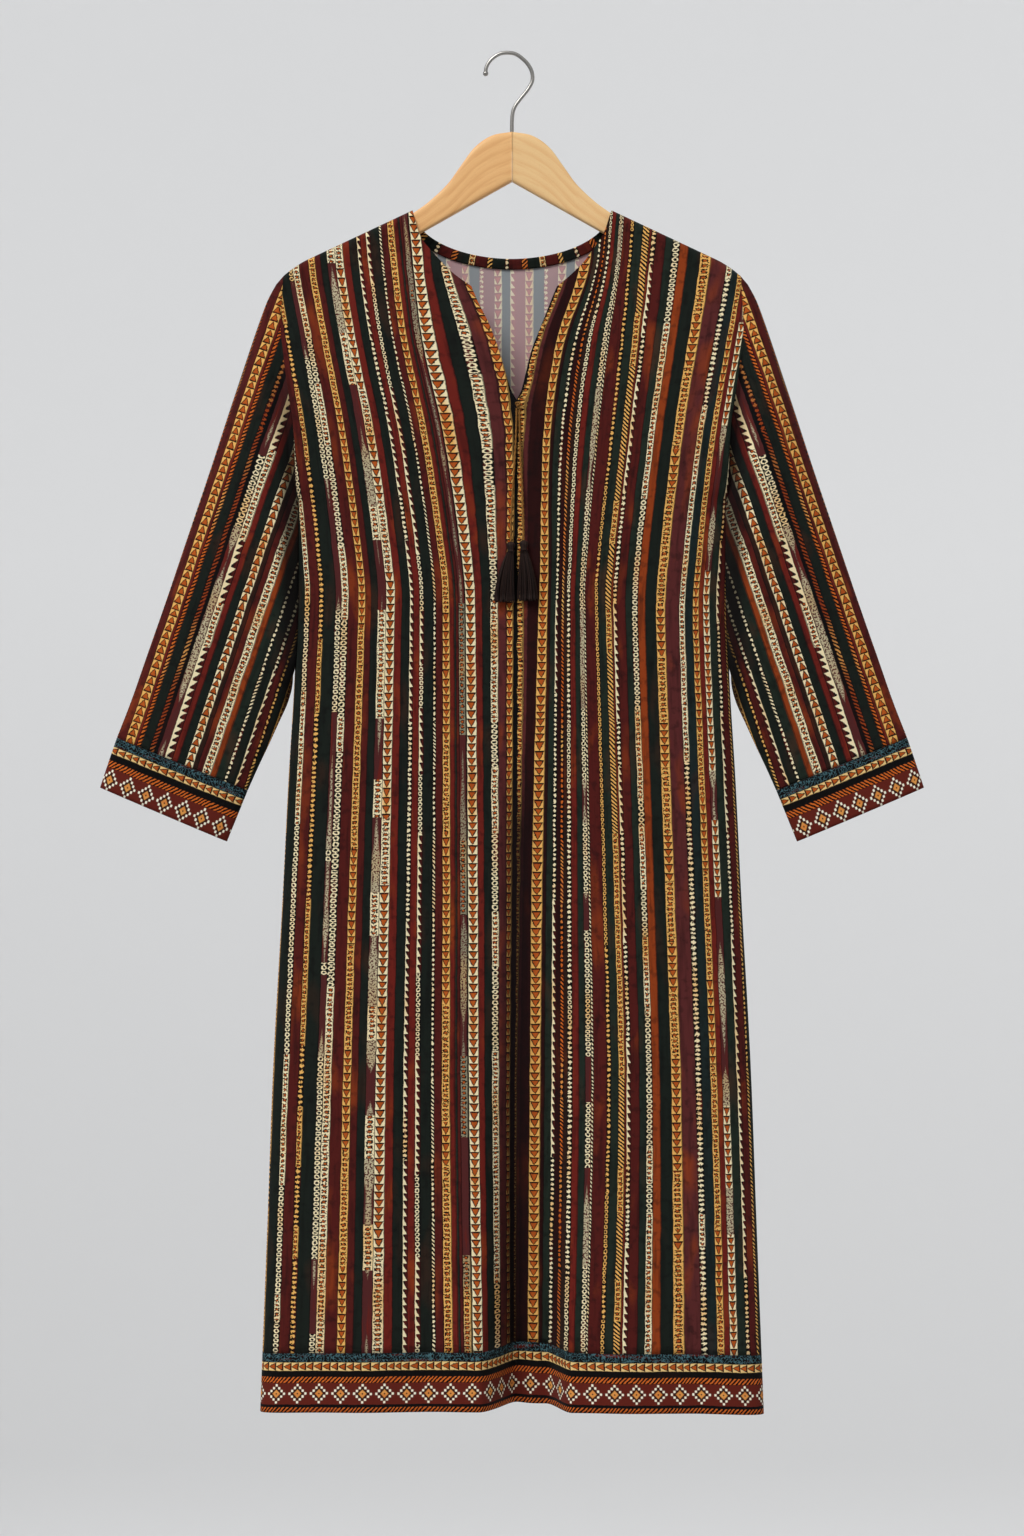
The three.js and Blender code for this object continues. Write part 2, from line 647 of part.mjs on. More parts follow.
// One strand of a tassel, from inside the head to its end on an oval ring
function strand(spec, ring, angle, middle) {
  const rootZ = middle.z - TASSEL_HEAD_HEIGHT / 2 + STRAND_ROOT;
  const tipZ = spec.headZ - TASSEL_HEAD_HEIGHT - TASSEL_SKIRT;
  const forward = STRAND_RINGS[0].tipY - TASSEL_HEAD_RADIUS + STRAND_ROOT;
  const uneven = Math.sin(angle * 3) * STRAND_UNEVEN;
  const rings = STRAND_STATIONS.map((share) => {
    const spread = 1 - (1 - share) ** 2;
    const x = mix(spec.headX, spec.tipX, spread) + mix(ring.rootX, ring.tipX, spread) * Math.cos(angle);
    const y = middle.y - forward * spread + mix(ring.rootY, ring.tipY, spread) * Math.sin(angle);
    const z = mix(rootZ, tipZ + uneven, share);
    return STRAND_CORNERS.map((corner) => {
      const turn = angle + (2 * Math.PI * corner) / STRAND_CORNERS.length;
      return point(x + STRAND_RADIUS * Math.cos(turn), y + STRAND_RADIUS * Math.sin(turn), z);
    });
  });
  return solidTube(rings, [STRAND_CORNERS]);
}

// Tassel: a bound head, and the strands fused to it
function tassel(spec) {
  const half = TASSEL_HEAD_HEIGHT / 2;
  const middle = inFront(spec.headX, spec.headZ - half, TASSEL_HEAD_RADIUS);
  const outline = TASSEL_HEAD_OUTLINE.map(({ radius, height }) => (
    new THREE.Vector2(radius * TASSEL_HEAD_RADIUS, height * half)
  ));
  const head = new THREE.LatheGeometry(outline, 12);
  head.rotateX(Math.PI / 2);
  head.translate(middle.x, middle.y, middle.z);
  const strands = STRAND_RINGS.flatMap((ring) => (
    Array.from({ length: ring.count }, (_, i) => strand(spec, ring, (2 * Math.PI * (i + 0.5)) / ring.count, middle))
  ));
  return toGeometry(strands.reduce((solid, each) => solid.add(toSolid(each)), toSolid(head)));
}

const finish = (color, roughness, metalness = 0) => new THREE.MeshStandardMaterial({ color, roughness, metalness });
const print = finish('#4a2326', 0.85);
const border = finish('#6a2420', 0.85);
const bound = finish('#2c1c1e', 0.85);
const thread = finish('#2a1814', 0.8);
const wood = finish('#e0a96c', 0.45);
const steel = finish('#8f8a84', 0.3, 0.9);

function named(name, geometry, material) {
  const mesh = new THREE.Mesh(geometry, material);
  mesh.name = name;
  return mesh;
}

const dress = new THREE.Group();
dress.add(named('front_panel', frontPanel(), print));
dress.add(named('back_panel', backPanel(), print));
dress.add(named('hem_border', hemBorder(), border));
dress.add(named('neck_binding', neckBinding(), bound));
['left', 'right'].forEach((side) => {
  const arm = new THREE.Group();
  arm.scale.x = side === 'left' ? -1 : 1;
  arm.add(named(`sleeve_${side}`, sleeve(), print));
  arm.add(named(`cuff_${side}`, cuff(), border));
  dress.add(arm);
});

const ties = new THREE.Group();
ties.add(named('tie_knot', tieKnot(), thread));
TASSELS.forEach((spec) => {
  ties.add(named(`tie_cord_${spec.side}`, tieCord(spec), thread));
  ties.add(named(`tassel_${spec.side}`, tassel(spec), thread));
});
dress.add(ties);

const hanger = new THREE.Group();
['left', 'right'].forEach((side) => {
  const arm = new THREE.Group();
  arm.scale.x = side === 'left' ? -1 : 1;
  arm.add(named(`hanger_arm_${side}`, hangerArm(), wood));
  hanger.add(arm);
});
hanger.add(named('hanger_hook', wireHook(), steel));

const part = new THREE.Group();
part.add(dress, hanger);

export default part;
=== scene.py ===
"""A long striped tunic dress on a wooden hanger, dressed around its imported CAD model.

Lengths are in millimetres until a mesh is made, and UV maps hold metres. +Z is up and -Y is the front of the
garment. A surface is a grid of points worked out from two parameters, rows down and columns across.
"""

import math

import bpy
import numpy as np
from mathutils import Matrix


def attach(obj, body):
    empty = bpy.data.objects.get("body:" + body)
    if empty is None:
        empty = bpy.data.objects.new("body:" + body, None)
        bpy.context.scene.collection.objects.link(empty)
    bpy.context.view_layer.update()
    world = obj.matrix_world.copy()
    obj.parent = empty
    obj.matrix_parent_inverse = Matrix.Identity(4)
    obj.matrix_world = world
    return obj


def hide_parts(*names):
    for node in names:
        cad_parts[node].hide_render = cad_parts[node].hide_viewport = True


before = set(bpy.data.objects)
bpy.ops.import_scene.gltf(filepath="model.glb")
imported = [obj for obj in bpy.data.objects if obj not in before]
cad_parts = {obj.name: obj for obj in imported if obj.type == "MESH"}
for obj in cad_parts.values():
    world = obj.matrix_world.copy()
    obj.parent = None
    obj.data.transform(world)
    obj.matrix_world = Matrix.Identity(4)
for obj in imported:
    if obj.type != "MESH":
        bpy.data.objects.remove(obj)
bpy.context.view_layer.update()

MM = 0.001

# Sizes, close to those in the part's source
SHOULDER_HALF = 229.3
SHOULDER_SLOPE = 0.47
SHOULDER_BEND_START = 205
SHOULDER_BEND = 0.0083
RIDGE_RADIUS = 8.5
NECK_HALF = 100
NECK_POINT_Z = -156.6
BACK_NECK_DROP = 47.5
UNDERARM_Z = -448
ARMHOLE_DEPTH = 22
SEAM_GAP = 0.3
HALF_SEAM = SEAM_GAP / 2
HEM_Z = -1359.4
BORDER_HEIGHT = 59.3
BORDER_RISE = 4
BORDER_RISE_MIDDLE = 20
BORDER_RISE_REACH = 32
HEM_SIDE_DROP = 4
HEM_TILT = 1.2
SHOULDER_ROUNDNESS = 16
SIDE_ROUNDNESS = 4
SLEEVE_ROUNDNESS = 2.5
PRINT_THICKNESS = 0.9
FACING = {"left": -1, "right": 1}

# Half width of the body at each height
BODY_Z = [-222, -270, -307, -340, -377, -448, -549, -629, -730, -850, -1011, -1171, -1366]
BODY_HALF = [229.3, 231.5, 228.5, 224, 218.8, 216.3, 216.3, 218.5, 224.5, 230.5, 239.5, 245.5, 253]

# Stand-off of front and back from the hanger's plane, by the drop below the shoulder line
FULLNESS_DROP = [0, 30, 70, 130, 220, 400, 1200]
FULLNESS = {"front": [0, 1.5, 8, 15, 21, 24, 26], "back": [0, 2.5, 9, 16, 22, 25, 28]}

# Front neckline in four smooth stretches: two curves and the two sides of the slit
NECKLINE = [
    ([-100, -93, -80.4, -60.5, -40.6], [-156.6, -181.7, -199.2, -220.7, -235.7]),
    ([-40.6, -34.5, -21.5, -11, -1.5, 4.5], [-235.7, -250.3, -277, -307, -339, -350]),
    ([4.5, 9.5, 19, 27, 39.8, 45], [-350, -340, -301.8, -281, -248.2, -235.7]),
    ([45, 57.3, 72.6, 86.4, 92.5, 100], [-235.7, -225.2, -209.7, -189.7, -180, -156.6]),
]

# Deep fold of the hem and the soft folds: middle at the hem, lean, reach, height and where each fades out
HEM_FOLD = {"left": (-34, 6), "right": (34, 60), "depth": 52, "top": -900, "rise": 1.25}
SOFT_FOLDS = [
    (-150, 0.05, 34, 3.5, -620),
    (-78, 0.02, 26, -3, -760),
    (118, -0.03, 30, 3.5, -700),
    (186, -0.06, 26, -3, -560),
    (4, 0, 11, -9, -600),
]

# Sleeve sections: outer edge x and z, inner edge x and z, half depth
SLEEVE_SECTIONS = [
    (237, -231, 218, -470, 17.5),
    (245.4, -246.7, 218.6, -500, 20),
    (253, -266.8, 219, -532, 25),
    (262, -293, 219.4, -562, 28),
    (272, -323, 219.8, -590, 29),
    (285, -362, 220.3, -614, 28),
    (303, -417, 220.8, -634, 25),
    (324, -479, 225.5, -652, 22),
    (347.5, -548.4, 234.5, -672, 18.5),
    (368, -607, 245, -695, 15),
    (383, -650, 255, -716, 12.5),
    (397.3, -686.7, 265.7, -739.8, 10.5),
]
CUFF_SECTIONS = [
    (397.4, -687, 265.8, -740.1, 10.5),
    (406, -712, 276.2, -765.7, 9.8),
    (414.3, -737, 286.6, -791.3, 9),
]
CUFF_LENGTH = 53.6
SLEEVE_ACROSS = np.array([-0.9457, -0.325])
SLEEVE_ORIGIN = np.array([397.3, -686.7])

# Lip of a sleeve over the body's side: reach, depth with its spread, and the heights and fades of its ends
LIP_REACH = 7.6
LIP_DEPTH = 16
LIP_SPREAD = 8
LIP_TOP = -412
LIP_TOP_FADE = 45
LIP_FOOT = -640
LIP_FOOT_FADE = 30

# Hanger
ARM_HALF_THICKNESS = 5.5
ARM_TOP_X = [0, 21, 38, 51.8, 64.4, 83.5, 100]
ARM_TOP_Z = [-77.8, -82, -94, -112.5, -130, -148.2, -160.2]
ARM_UNDERSIDE_Z = -128
ARM_UNDERSIDE_SLOPE = 0.564
ARM_LOW_X = 94
ARM_CLEARANCE = 3.6
ARM_TIP_X = 211
ARM_TIP_HEIGHT = 17
ARM_SIDES = 36
ARM_SQUARENESS = 0.45
ARM_CORNER = 7.0
TIP_START = 203
TIP_LENGTH = 8
TIP_NARROWING = 6
WIRE_RADIUS = 1.95
HOOK_TIP_RADIUS = 2.8
HOOK_ROUTE = [
    (-26.5, -18.9), (-25.9, -13.3), (-23, -7.4), (-18, -2.4), (-11.5, 1.1), (-4, 1.95), (3.5, 0.6),
    (10.5, -4), (16.5, -10.4), (20.1, -17.9), (20.5, -25.9), (17, -33.5), (12.5, -39.5), (7.5, -45.6),
    (3, -52.1), (0.8, -58.5), (0, -68), (0, -82), (0, -97.2),
]

# Ties and tassels at the foot of the slit
KNOT = {"x": 6, "z": -355.2, "radius": 3.1, "thread": 1.15}
FORWARD = (0, -1, 0)
TIE_RADIUS = 1.1
TIE_TURN_LENGTH = 5.2
TIE_INSIDE_HEAD = np.array([[0, 0, -4], [0, 0, -8], [0, 0, -12.0]])
TASSEL_HEAD_RADIUS = 4.4
TASSEL_HEAD_HEIGHT = 10
TASSEL_HEAD_SHARES = [0, 0.12, 0.3, 0.62, 0.84, 1]
TASSEL_HEAD_OUTLINE = [0.12, 0.7, 0.98, 0.82, 0.72, 0.86]
TASSEL_SKIRT = 51
TASSEL_STRANDS = 150
TASSEL_WIDTH = (2.9, 10.2)
TASSEL_DEPTH = (2.5, 4.6)
TASSEL_FORWARD = 1.6
STRAND_RADIUS = 0.36
TASSELS = {
    "left": {"tie": 4.6, "head": -1.2, "tip": -7.4, "z": -492},
    "right": {"tie": 7.4, "head": 11.6, "tip": 15.4, "z": -490.5},
}


# Shape maths
def mix(a, b, share):
    return a + (b - a) * share


def smooth_step(value):
    """Eased share: three times its square less twice its cube."""
    t = np.clip(value, 0, 1)
    return t * t * (3 - 2 * t)


def smooth_table(keys, values, at):
    """Cubic through a table's rows. Each row's slope is that of the line between its neighbours."""
    order = np.argsort(keys)
    keys = np.asarray(keys, float)[order]
    values = np.asarray(values, float)[order]
    rows = np.arange(len(keys))
    after = np.minimum(rows + 1, len(keys) - 1)
    before = np.maximum(rows - 1, 0)
    slopes = (values[after] - values[before]) / (keys[after] - keys[before])
    at = np.clip(at, keys[0], keys[-1])
    i = np.clip(np.searchsorted(keys, at, side="right") - 1, 0, len(keys) - 2)
    span = keys[i + 1] - keys[i]
    t = (at - keys[i]) / span
    hold = (1 + 2 * t) * (1 - t) ** 2 * values[i] + t * t * (3 - 2 * t) * values[i + 1]
    return hold + span * t * (1 - t) * ((1 - t) * slopes[i] - t * slopes[i + 1])


def half_width(z):
    return smooth_table(BODY_Z, BODY_HALF, z)


def ridge_height(x):
    """Shoulder line: a straight slope from the neck point, less a square of the distance past the bend."""
    bent = np.maximum(0, np.abs(x) - SHOULDER_BEND_START)
    return NECK_POINT_Z - SHOULDER_SLOPE * (np.abs(x) - NECK_HALF) - SHOULDER_BEND * bent * bent


SHOULDER_Z = float(ridge_height(SHOULDER_HALF))


def bulge(share, roundness):
    """Superellipse: the nth root of one less share to the power n, 1 in the middle and 0 at the edge."""
    return np.maximum(0, 1 - np.abs(share) ** roundness) ** (1 / roundness)


def stand_off(panel, drop):
    """Quarter circle of the ridge, then the panel's fullness on top."""
    inside = RIDGE_RADIUS - np.minimum(drop, RIDGE_RADIUS)
    ridge = np.sqrt(np.maximum(0, RIDGE_RADIUS**2 - inside**2))
    return ridge + smooth_table(FULLNESS_DROP, FULLNESS[panel], drop)


def armhole_depth(z):
    """Half an oval from the shoulder point down to the underarm, no deeper than the panel stands off."""
    share = (SHOULDER_Z - z) / (SHOULDER_Z - UNDERARM_Z)
    oval = ARMHOLE_DEPTH * bulge(np.clip(1 - 2 * share, -1, 1), SLEEVE_ROUNDNESS)
    return np.minimum(oval, stand_off("front", np.maximum(0, SHOULDER_Z - z)))


def hem_sag(x, z):
    """Drop of the hem: the fourth power of the share of the half width, and a slight tilt."""
    share = x / half_width(z)
    return -HEM_SIDE_DROP * share**4 - HEM_TILT * share


def hem_fold(x, z):
    """Deep fold: an eased wall on each side, times a power of the way down from where it starts."""
    left_from, left_to = HEM_FOLD["left"]
    right_from, right_to = HEM_FOLD["right"]
    inwards = smooth_step((x - left_from) / (left_to - left_from))
    outwards = smooth_step((right_to - x) / (right_to - right_from))
    growth = np.clip((HEM_FOLD["top"] - z) / (HEM_FOLD["top"] - HEM_Z), 0, 1) ** HEM_FOLD["rise"]
    return HEM_FOLD["depth"] * inwards * outwards * growth


def border_height(panel, x):
    """Height of the hem border: a little more, by a bell curve, where the front's deep fold lifts it."""
    if panel == "back":
        return BORDER_HEIGHT + 0 * x
    away = (x - BORDER_RISE_MIDDLE) / BORDER_RISE_REACH
    return BORDER_HEIGHT + BORDER_RISE * np.exp(-away * away)


def soft_folds(x, z):
    """Sum of leaning bell curves across x, each eased in downwards."""
    total = np.zeros(np.broadcast(x, z).shape)
    for middle, lean, reach, height, top in SOFT_FOLDS:
        across = (x - middle - lean * (z - HEM_Z)) / reach
        total += height * smooth_step((top - z) / (top - HEM_Z)) * np.exp(-across * across)
    return total


def creases(x, z):
    """Shallow uneven creases: products of slow sines across and down, strongest under the arms."""
    skirt = 0.5 * np.sin(x / 31 + z / 260) * np.sin(z / 170 + 1.3) + 0.35 * np.sin(x / 13 - z / 190)
    pull = np.exp(-(((z + 430) / 120) ** 2)) * np.exp(-(((np.abs(x) - 190) / 45) ** 2))
    return skirt + 1.1 * pull * np.sin((np.abs(x) * 0.55 - z) / 10.5)


def panel_surface(panel, x, z):
    """Stand-off drawn in to the armhole or side seam by a superellipse, with folds and creases on top."""
    full = stand_off(panel, np.maximum(0, ridge_height(x) - z))
    edge = armhole_depth(z)
    share = np.minimum(1, np.abs(x) / half_width(z))
    below = smooth_step((SHOULDER_Z - z) / (SHOULDER_Z - UNDERARM_Z))
    across = bulge(share, mix(SHOULDER_ROUNDNESS, SIDE_ROUNDNESS, below))
    depth = HALF_SEAM + edge + (full - edge) * across
    low = smooth_step((ridge_height(x) - z - 40) / 80) * across
    if panel == "back":
        return depth + soft_folds(-x, z) * across + 0.6 * creases(-x, z) * low
    return -depth - soft_folds(x, z) * across + hem_fold(x, z) - 0.6 * creases(x, z) * low


def front_top(x):
    """Neckline inside the neck points, and the shoulder line beyond them."""
    height = ridge_height(x)
    for keys, values in NECKLINE:
        inside = (x >= keys[0]) & (x <= keys[-1])
        height = np.where(inside, smooth_table(keys, values, x), height)
    return height


def back_top(x):
    """Half an ellipse between the neck points, and the shoulder line beyond them."""
    dip = BACK_NECK_DROP * np.sqrt(np.maximum(0, 1 - (x / NECK_HALF) ** 2))
    return np.where(np.abs(x) < NECK_HALF, NECK_POINT_Z - dip, ridge_height(x))


# Meshes
def distance_along(line):
    """Distance of each point of a line from its start: the running sum of the steps."""
    return np.concatenate([[0], np.cumsum(np.linalg.norm(np.diff(line, axis=0), axis=1))])


def paired(u, v):
    """UV pairs from two arrays stretched to the same grid."""
    return np.stack(np.broadcast_arrays(u, v), -1)


def closed(grid):
    """A wrapped grid with its first column again at the end."""
    return np.concatenate([grid, grid[:, :1]], 1)


def unit(vectors):
    return vectors / np.linalg.norm(vectors, axis=1, keepdims=True)


def unit_across(vectors, forward):
    """Unit vectors of what is left of some vectors once their part along others is taken off."""
    return unit(vectors - (vectors * forward).sum(1, keepdims=True) * forward)


def round_angles(count):
    return np.linspace(0, 2 * np.pi, count, endpoint=False)


def grid_faces(rows, cols, wrap, flip):
    """Corner numbers of a grid's faces, in its points and in its UV grid, a column wider if it wraps."""
    r, c = np.meshgrid(np.arange(rows - 1), np.arange(cols if wrap else cols - 1), indexing="ij")
    wide = cols + 1 if wrap else cols
    corners = [(r, c), (r + 1, c), (r + 1, c + 1), (r, c + 1)]
    if flip:
        corners = corners[::-1]
    points = np.stack([row * cols + col % cols for row, col in corners], -1).reshape(-1, 4)
    marks = np.stack([row * wide + col for row, col in corners], -1).reshape(-1, 4)
    return points, marks


def piece_from(name, parts, material):
    """One object from parts, each a tuple of points, faces, UV marks per face corner, and UV pairs."""
    points = []
    faces = []
    uvs = []
    start = 0
    for part_points, part_faces, marks, pairs in parts:
        points.append(part_points.reshape(-1, 3))
        faces.extend((np.asarray(face) + start).tolist() for face in part_faces)
        uvs.extend(pairs.reshape(-1, 2)[np.asarray(mark)] for mark in marks)
        start += len(points[-1])
    mesh = bpy.data.meshes.new(name)
    mesh.from_pydata((np.concatenate(points) * MM).tolist(), [], faces)
    layer = mesh.uv_layers.new(name="print")
    layer.data.foreach_set("uv", (np.concatenate(uvs) * MM).astype(np.float32).ravel())
    mesh.polygons.foreach_set("use_smooth", [True] * len(faces))
    mesh.materials.append(material)
    mesh.validate()
    mesh.update()
    made = bpy.data.objects.new(name, mesh)
    bpy.context.scene.collection.objects.link(made)
    return made


def grid_part(points, uv, wrap=False, flip=False, caps=False):
    """Part from a grid of points. Caps close both ends of a wrapped grid with one face each."""
    rows, cols = points.shape[:2]
    faces, marks = [list(corners) for corners in grid_faces(rows, cols, wrap, flip)]
    if caps:
        ring = np.arange(cols)
        last = (rows - 1) * cols + ring
        last_marks = (rows - 1) * (cols + 1) + ring
        first, end = (ring, last[::-1]) if flip else (ring[::-1], last)
        faces += [first, end]
        marks += [first, last_marks[::-1] if flip else last_marks]
    return points, faces, marks, uv


def tube_part(path, radius, sides, reference, uv_start=(0, 0)):
    """Round tube: at each point of the path a circle across its direction. UV runs along and round it."""
    forward = unit(np.gradient(path, axis=0))
    out = unit_across(np.broadcast_to(reference, path.shape), forward)
    side = np.cross(forward, out)
    angle = round_angles(sides)
    radius = np.broadcast_to(np.asarray(radius, float).reshape(len(path), -1), (len(path), sides))
    ring = np.cos(angle)[:, None] * out[:, None] + np.sin(angle)[:, None] * side[:, None]
    points = path[:, None] + radius[..., None] * ring
    round_it = np.linspace(0, 2 * np.pi * float(radius.mean()), sides + 1)
    uv = paired(distance_along(path)[:, None], round_it[None, :]) + np.array(uv_start)
    return grid_part(points, uv, wrap=True, flip=True, caps=True)


def finish_piece(piece, node):
    """Puts a finished piece on the body, in place of its CAD node."""
    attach(piece, "root")
    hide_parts(node)
    return piece


def cloth_piece(name, part, looks, slot, node, **facts):
    """Cloth with a wall inwards and another look on its wrong side. The facts, the flat sheet's, are not
    used.
    """
    right_side, wrong_side = looks
    made = piece_from(name, [part], right_side)
    made.data.materials.append(wrong_side)
    wall = made.modifiers.new("wall", "SOLIDIFY")
    wall.thickness = PRINT_THICKNESS * MM
    wall.offset = -1
    wall.material_offset = 1
    finish_piece(made, node)


# Camera: lens in mm, place in metres
CAMERA_LENS = 82.03
CAMERA_PLACE = (0, -3.52, -0.7174)


def place_camera():
    """Level with the garment's middle and 3.5 m in front of it."""
    data = bpy.data.cameras.new("camera")
    data.sensor_width = 36
    data.lens = CAMERA_LENS
    data.clip_end = 60
    camera = bpy.data.objects.new("camera", data)
    camera.location = CAMERA_PLACE
    camera.rotation_euler = (math.radians(90), 0, 0)
    bpy.context.scene.collection.objects.link(camera)
    bpy.context.scene.camera = camera


place_camera()
bpy.context.scene.view_settings.view_transform = "Standard"


# Shaders
class Value:
    """A number in a shader. Python's operators on it add the Math nodes that work it out."""

    def __init__(self, shader, socket):
        self.shader = shader
        self.socket = socket

    def math(self, operation, *terms):
        return self.shader.node("Math", {"operation": operation}, dict(enumerate((self,) + terms)))

    def __add__(self, other):
        return self.math("ADD", other)

    __radd__ = __add__

    def __sub__(self, other):
        return self.math("SUBTRACT", other)

    def __rsub__(self, other):
        return self.shader.node("Math", {"operation": "SUBTRACT"}, {0: other, 1: self})

    def __mul__(self, other):
        return self.math("MULTIPLY", other)

    __rmul__ = __mul__

    def __truediv__(self, other):
        return self.math("DIVIDE", other)

    def __pow__(self, other):
        return self.math("POWER", other)

    def __abs__(self):
        return self.math("ABSOLUTE")

    def __gt__(self, other):
        return self.math("GREATER_THAN", other)

    def __lt__(self, other):
        return self.math("LESS_THAN", other)

    def fraction(self):
        return self.math("FRACT")

    def sine(self):
        return self.math("SINE")

    def largest(self, other):
        return self.math("MAXIMUM", other)

    def smallest(self, other):
        return self.math("MINIMUM", other)

    def limited(self):
        """Held between 0 and 1."""
        return self.largest(0.0).smallest(1.0)

    def is_motif(self, number):
        """1 where a motif's number is this one, and 0 elsewhere."""
        return self.math("COMPARE", float(number), 0.3)

    def edge(self, sharpness):
        """0 below zero and 1 above it, over a short slope."""
        return (self * sharpness + 0.5).limited()


class Shader:
    """One material. node() adds any node: its settings come first, then its sockets' values or links."""

    def __init__(self, name):
        self.material = bpy.data.materials.new(name)
        self.material.use_nodes = True
        self.tree = self.material.node_tree
        self.tree.nodes.clear()

    def node(self, kind, settings=None, sockets=None, outlet=0):
        made = self.tree.nodes.new("ShaderNode" + kind)
        for setting, value in (settings or {}).items():
            if setting == "stops":
                self.set_stops(made.color_ramp, value)
            else:
                setattr(made, setting, value)
        for name, value in (sockets or {}).items():
            inlet = made.inputs[name]
            if isinstance(value, Value):
                self.tree.links.new(value.socket, inlet)
            else:
                inlet.default_value = value
        return Value(self, made.outputs[outlet])

    @staticmethod
    def set_stops(ramp, stops):
        """Fills a stepped ramp with its (position, colour) stops."""
        ramp.interpolation = "CONSTANT"
        ramp.elements[0].position = stops[0][0]
        ramp.elements[0].color = stops[0][1]
        ramp.elements[1].position = stops[-1][0]
        ramp.elements[1].color = stops[-1][1]
        for position, colour in stops[1:-1]:
            ramp.elements.new(position).color = colour

    def blend(self, share, a, b):
        """Colour a to colour b by share."""
        return self.node("Mix", {"data_type": "RGBA"}, {0: share, 6: a, 7: b}, outlet=2)

    def parts_of(self, value, kind="SeparateXYZ"):
        sockets = self.node(kind, {}, {0: value}).socket.node.outputs
        return [Value(self, socket) for socket in sockets]

    def place(self, x, y):
        return self.node("CombineXYZ", {}, {0: x, 1: y})

    def noise(self, at, scale, detail=2.0):
        return self.node("TexNoise", {}, {"Vector": at, "Scale": scale, "Detail": detail})

    def print_map(self):
        """Across and along the print, in mm."""
        uv = self.node("UVMap", {"uv_map": "print"})
        across, along, _ = self.parts_of(uv)
        return across * 1000.0, along * 1000.0

    def surface(self, colour, roughness, bump=None, bump_depth=0.0, **constants):
        """Closes the material with a Principled shader. Constants are set on its own sockets."""
        sockets = {"Base Color": colour, "Roughness": roughness}
        if bump is not None:
            relief = {"Height": bump, "Distance": bump_depth, "Strength": 1.0}
            sockets["Normal"] = self.node("Bump", {}, relief)
        for name, value in constants.items():
            sockets[name.replace("_", " ")] = value
        shader = self.node("BsdfPrincipled", {}, sockets)
        out = self.tree.nodes.new("ShaderNodeOutputMaterial")
        self.tree.links.new(shader.socket, out.inputs["Surface"])
        return self.material


def tone(red, green, blue):
    """Linear colour of a screen colour from 0 to 255."""
    def linear(value):
        share = value / 255
        return share / 12.92 if share <= 0.04045 else ((share + 0.055) / 1.055) ** 2.4
    return (linear(red), linear(green), linear(blue), 1.0)


TONES = {
    "black": tone(13, 11, 11),
    "dark green": tone(26, 32, 27),
    "blue green": tone(29, 40, 39),
    "green": tone(34, 43, 35),
    "brown": tone(48, 28, 21),
    "maroon": tone(85, 28, 24),
    "dark maroon": tone(44, 14, 13),
    "mauve": tone(92, 41, 40),
    "red": tone(112, 34, 26),
    "rust": tone(152, 64, 25),
    "orange": tone(214, 106, 38),
    "gold": tone(246, 188, 102),
    "cream": tone(254, 238, 194),
    "grey cream": tone(150, 142, 116),
    "teal": tone(72, 108, 116),
    "straw": tone(246, 208, 138),
    "white": tone(255, 250, 226),
    "brick": tone(102, 36, 26),
}

PLAIN, CHEVRONS, TEETH, RINGS, BEADS, CHAIN, SCRIBBLE, STROKES, LOZENGES, CURLS = range(10)
KINDS = 10.0

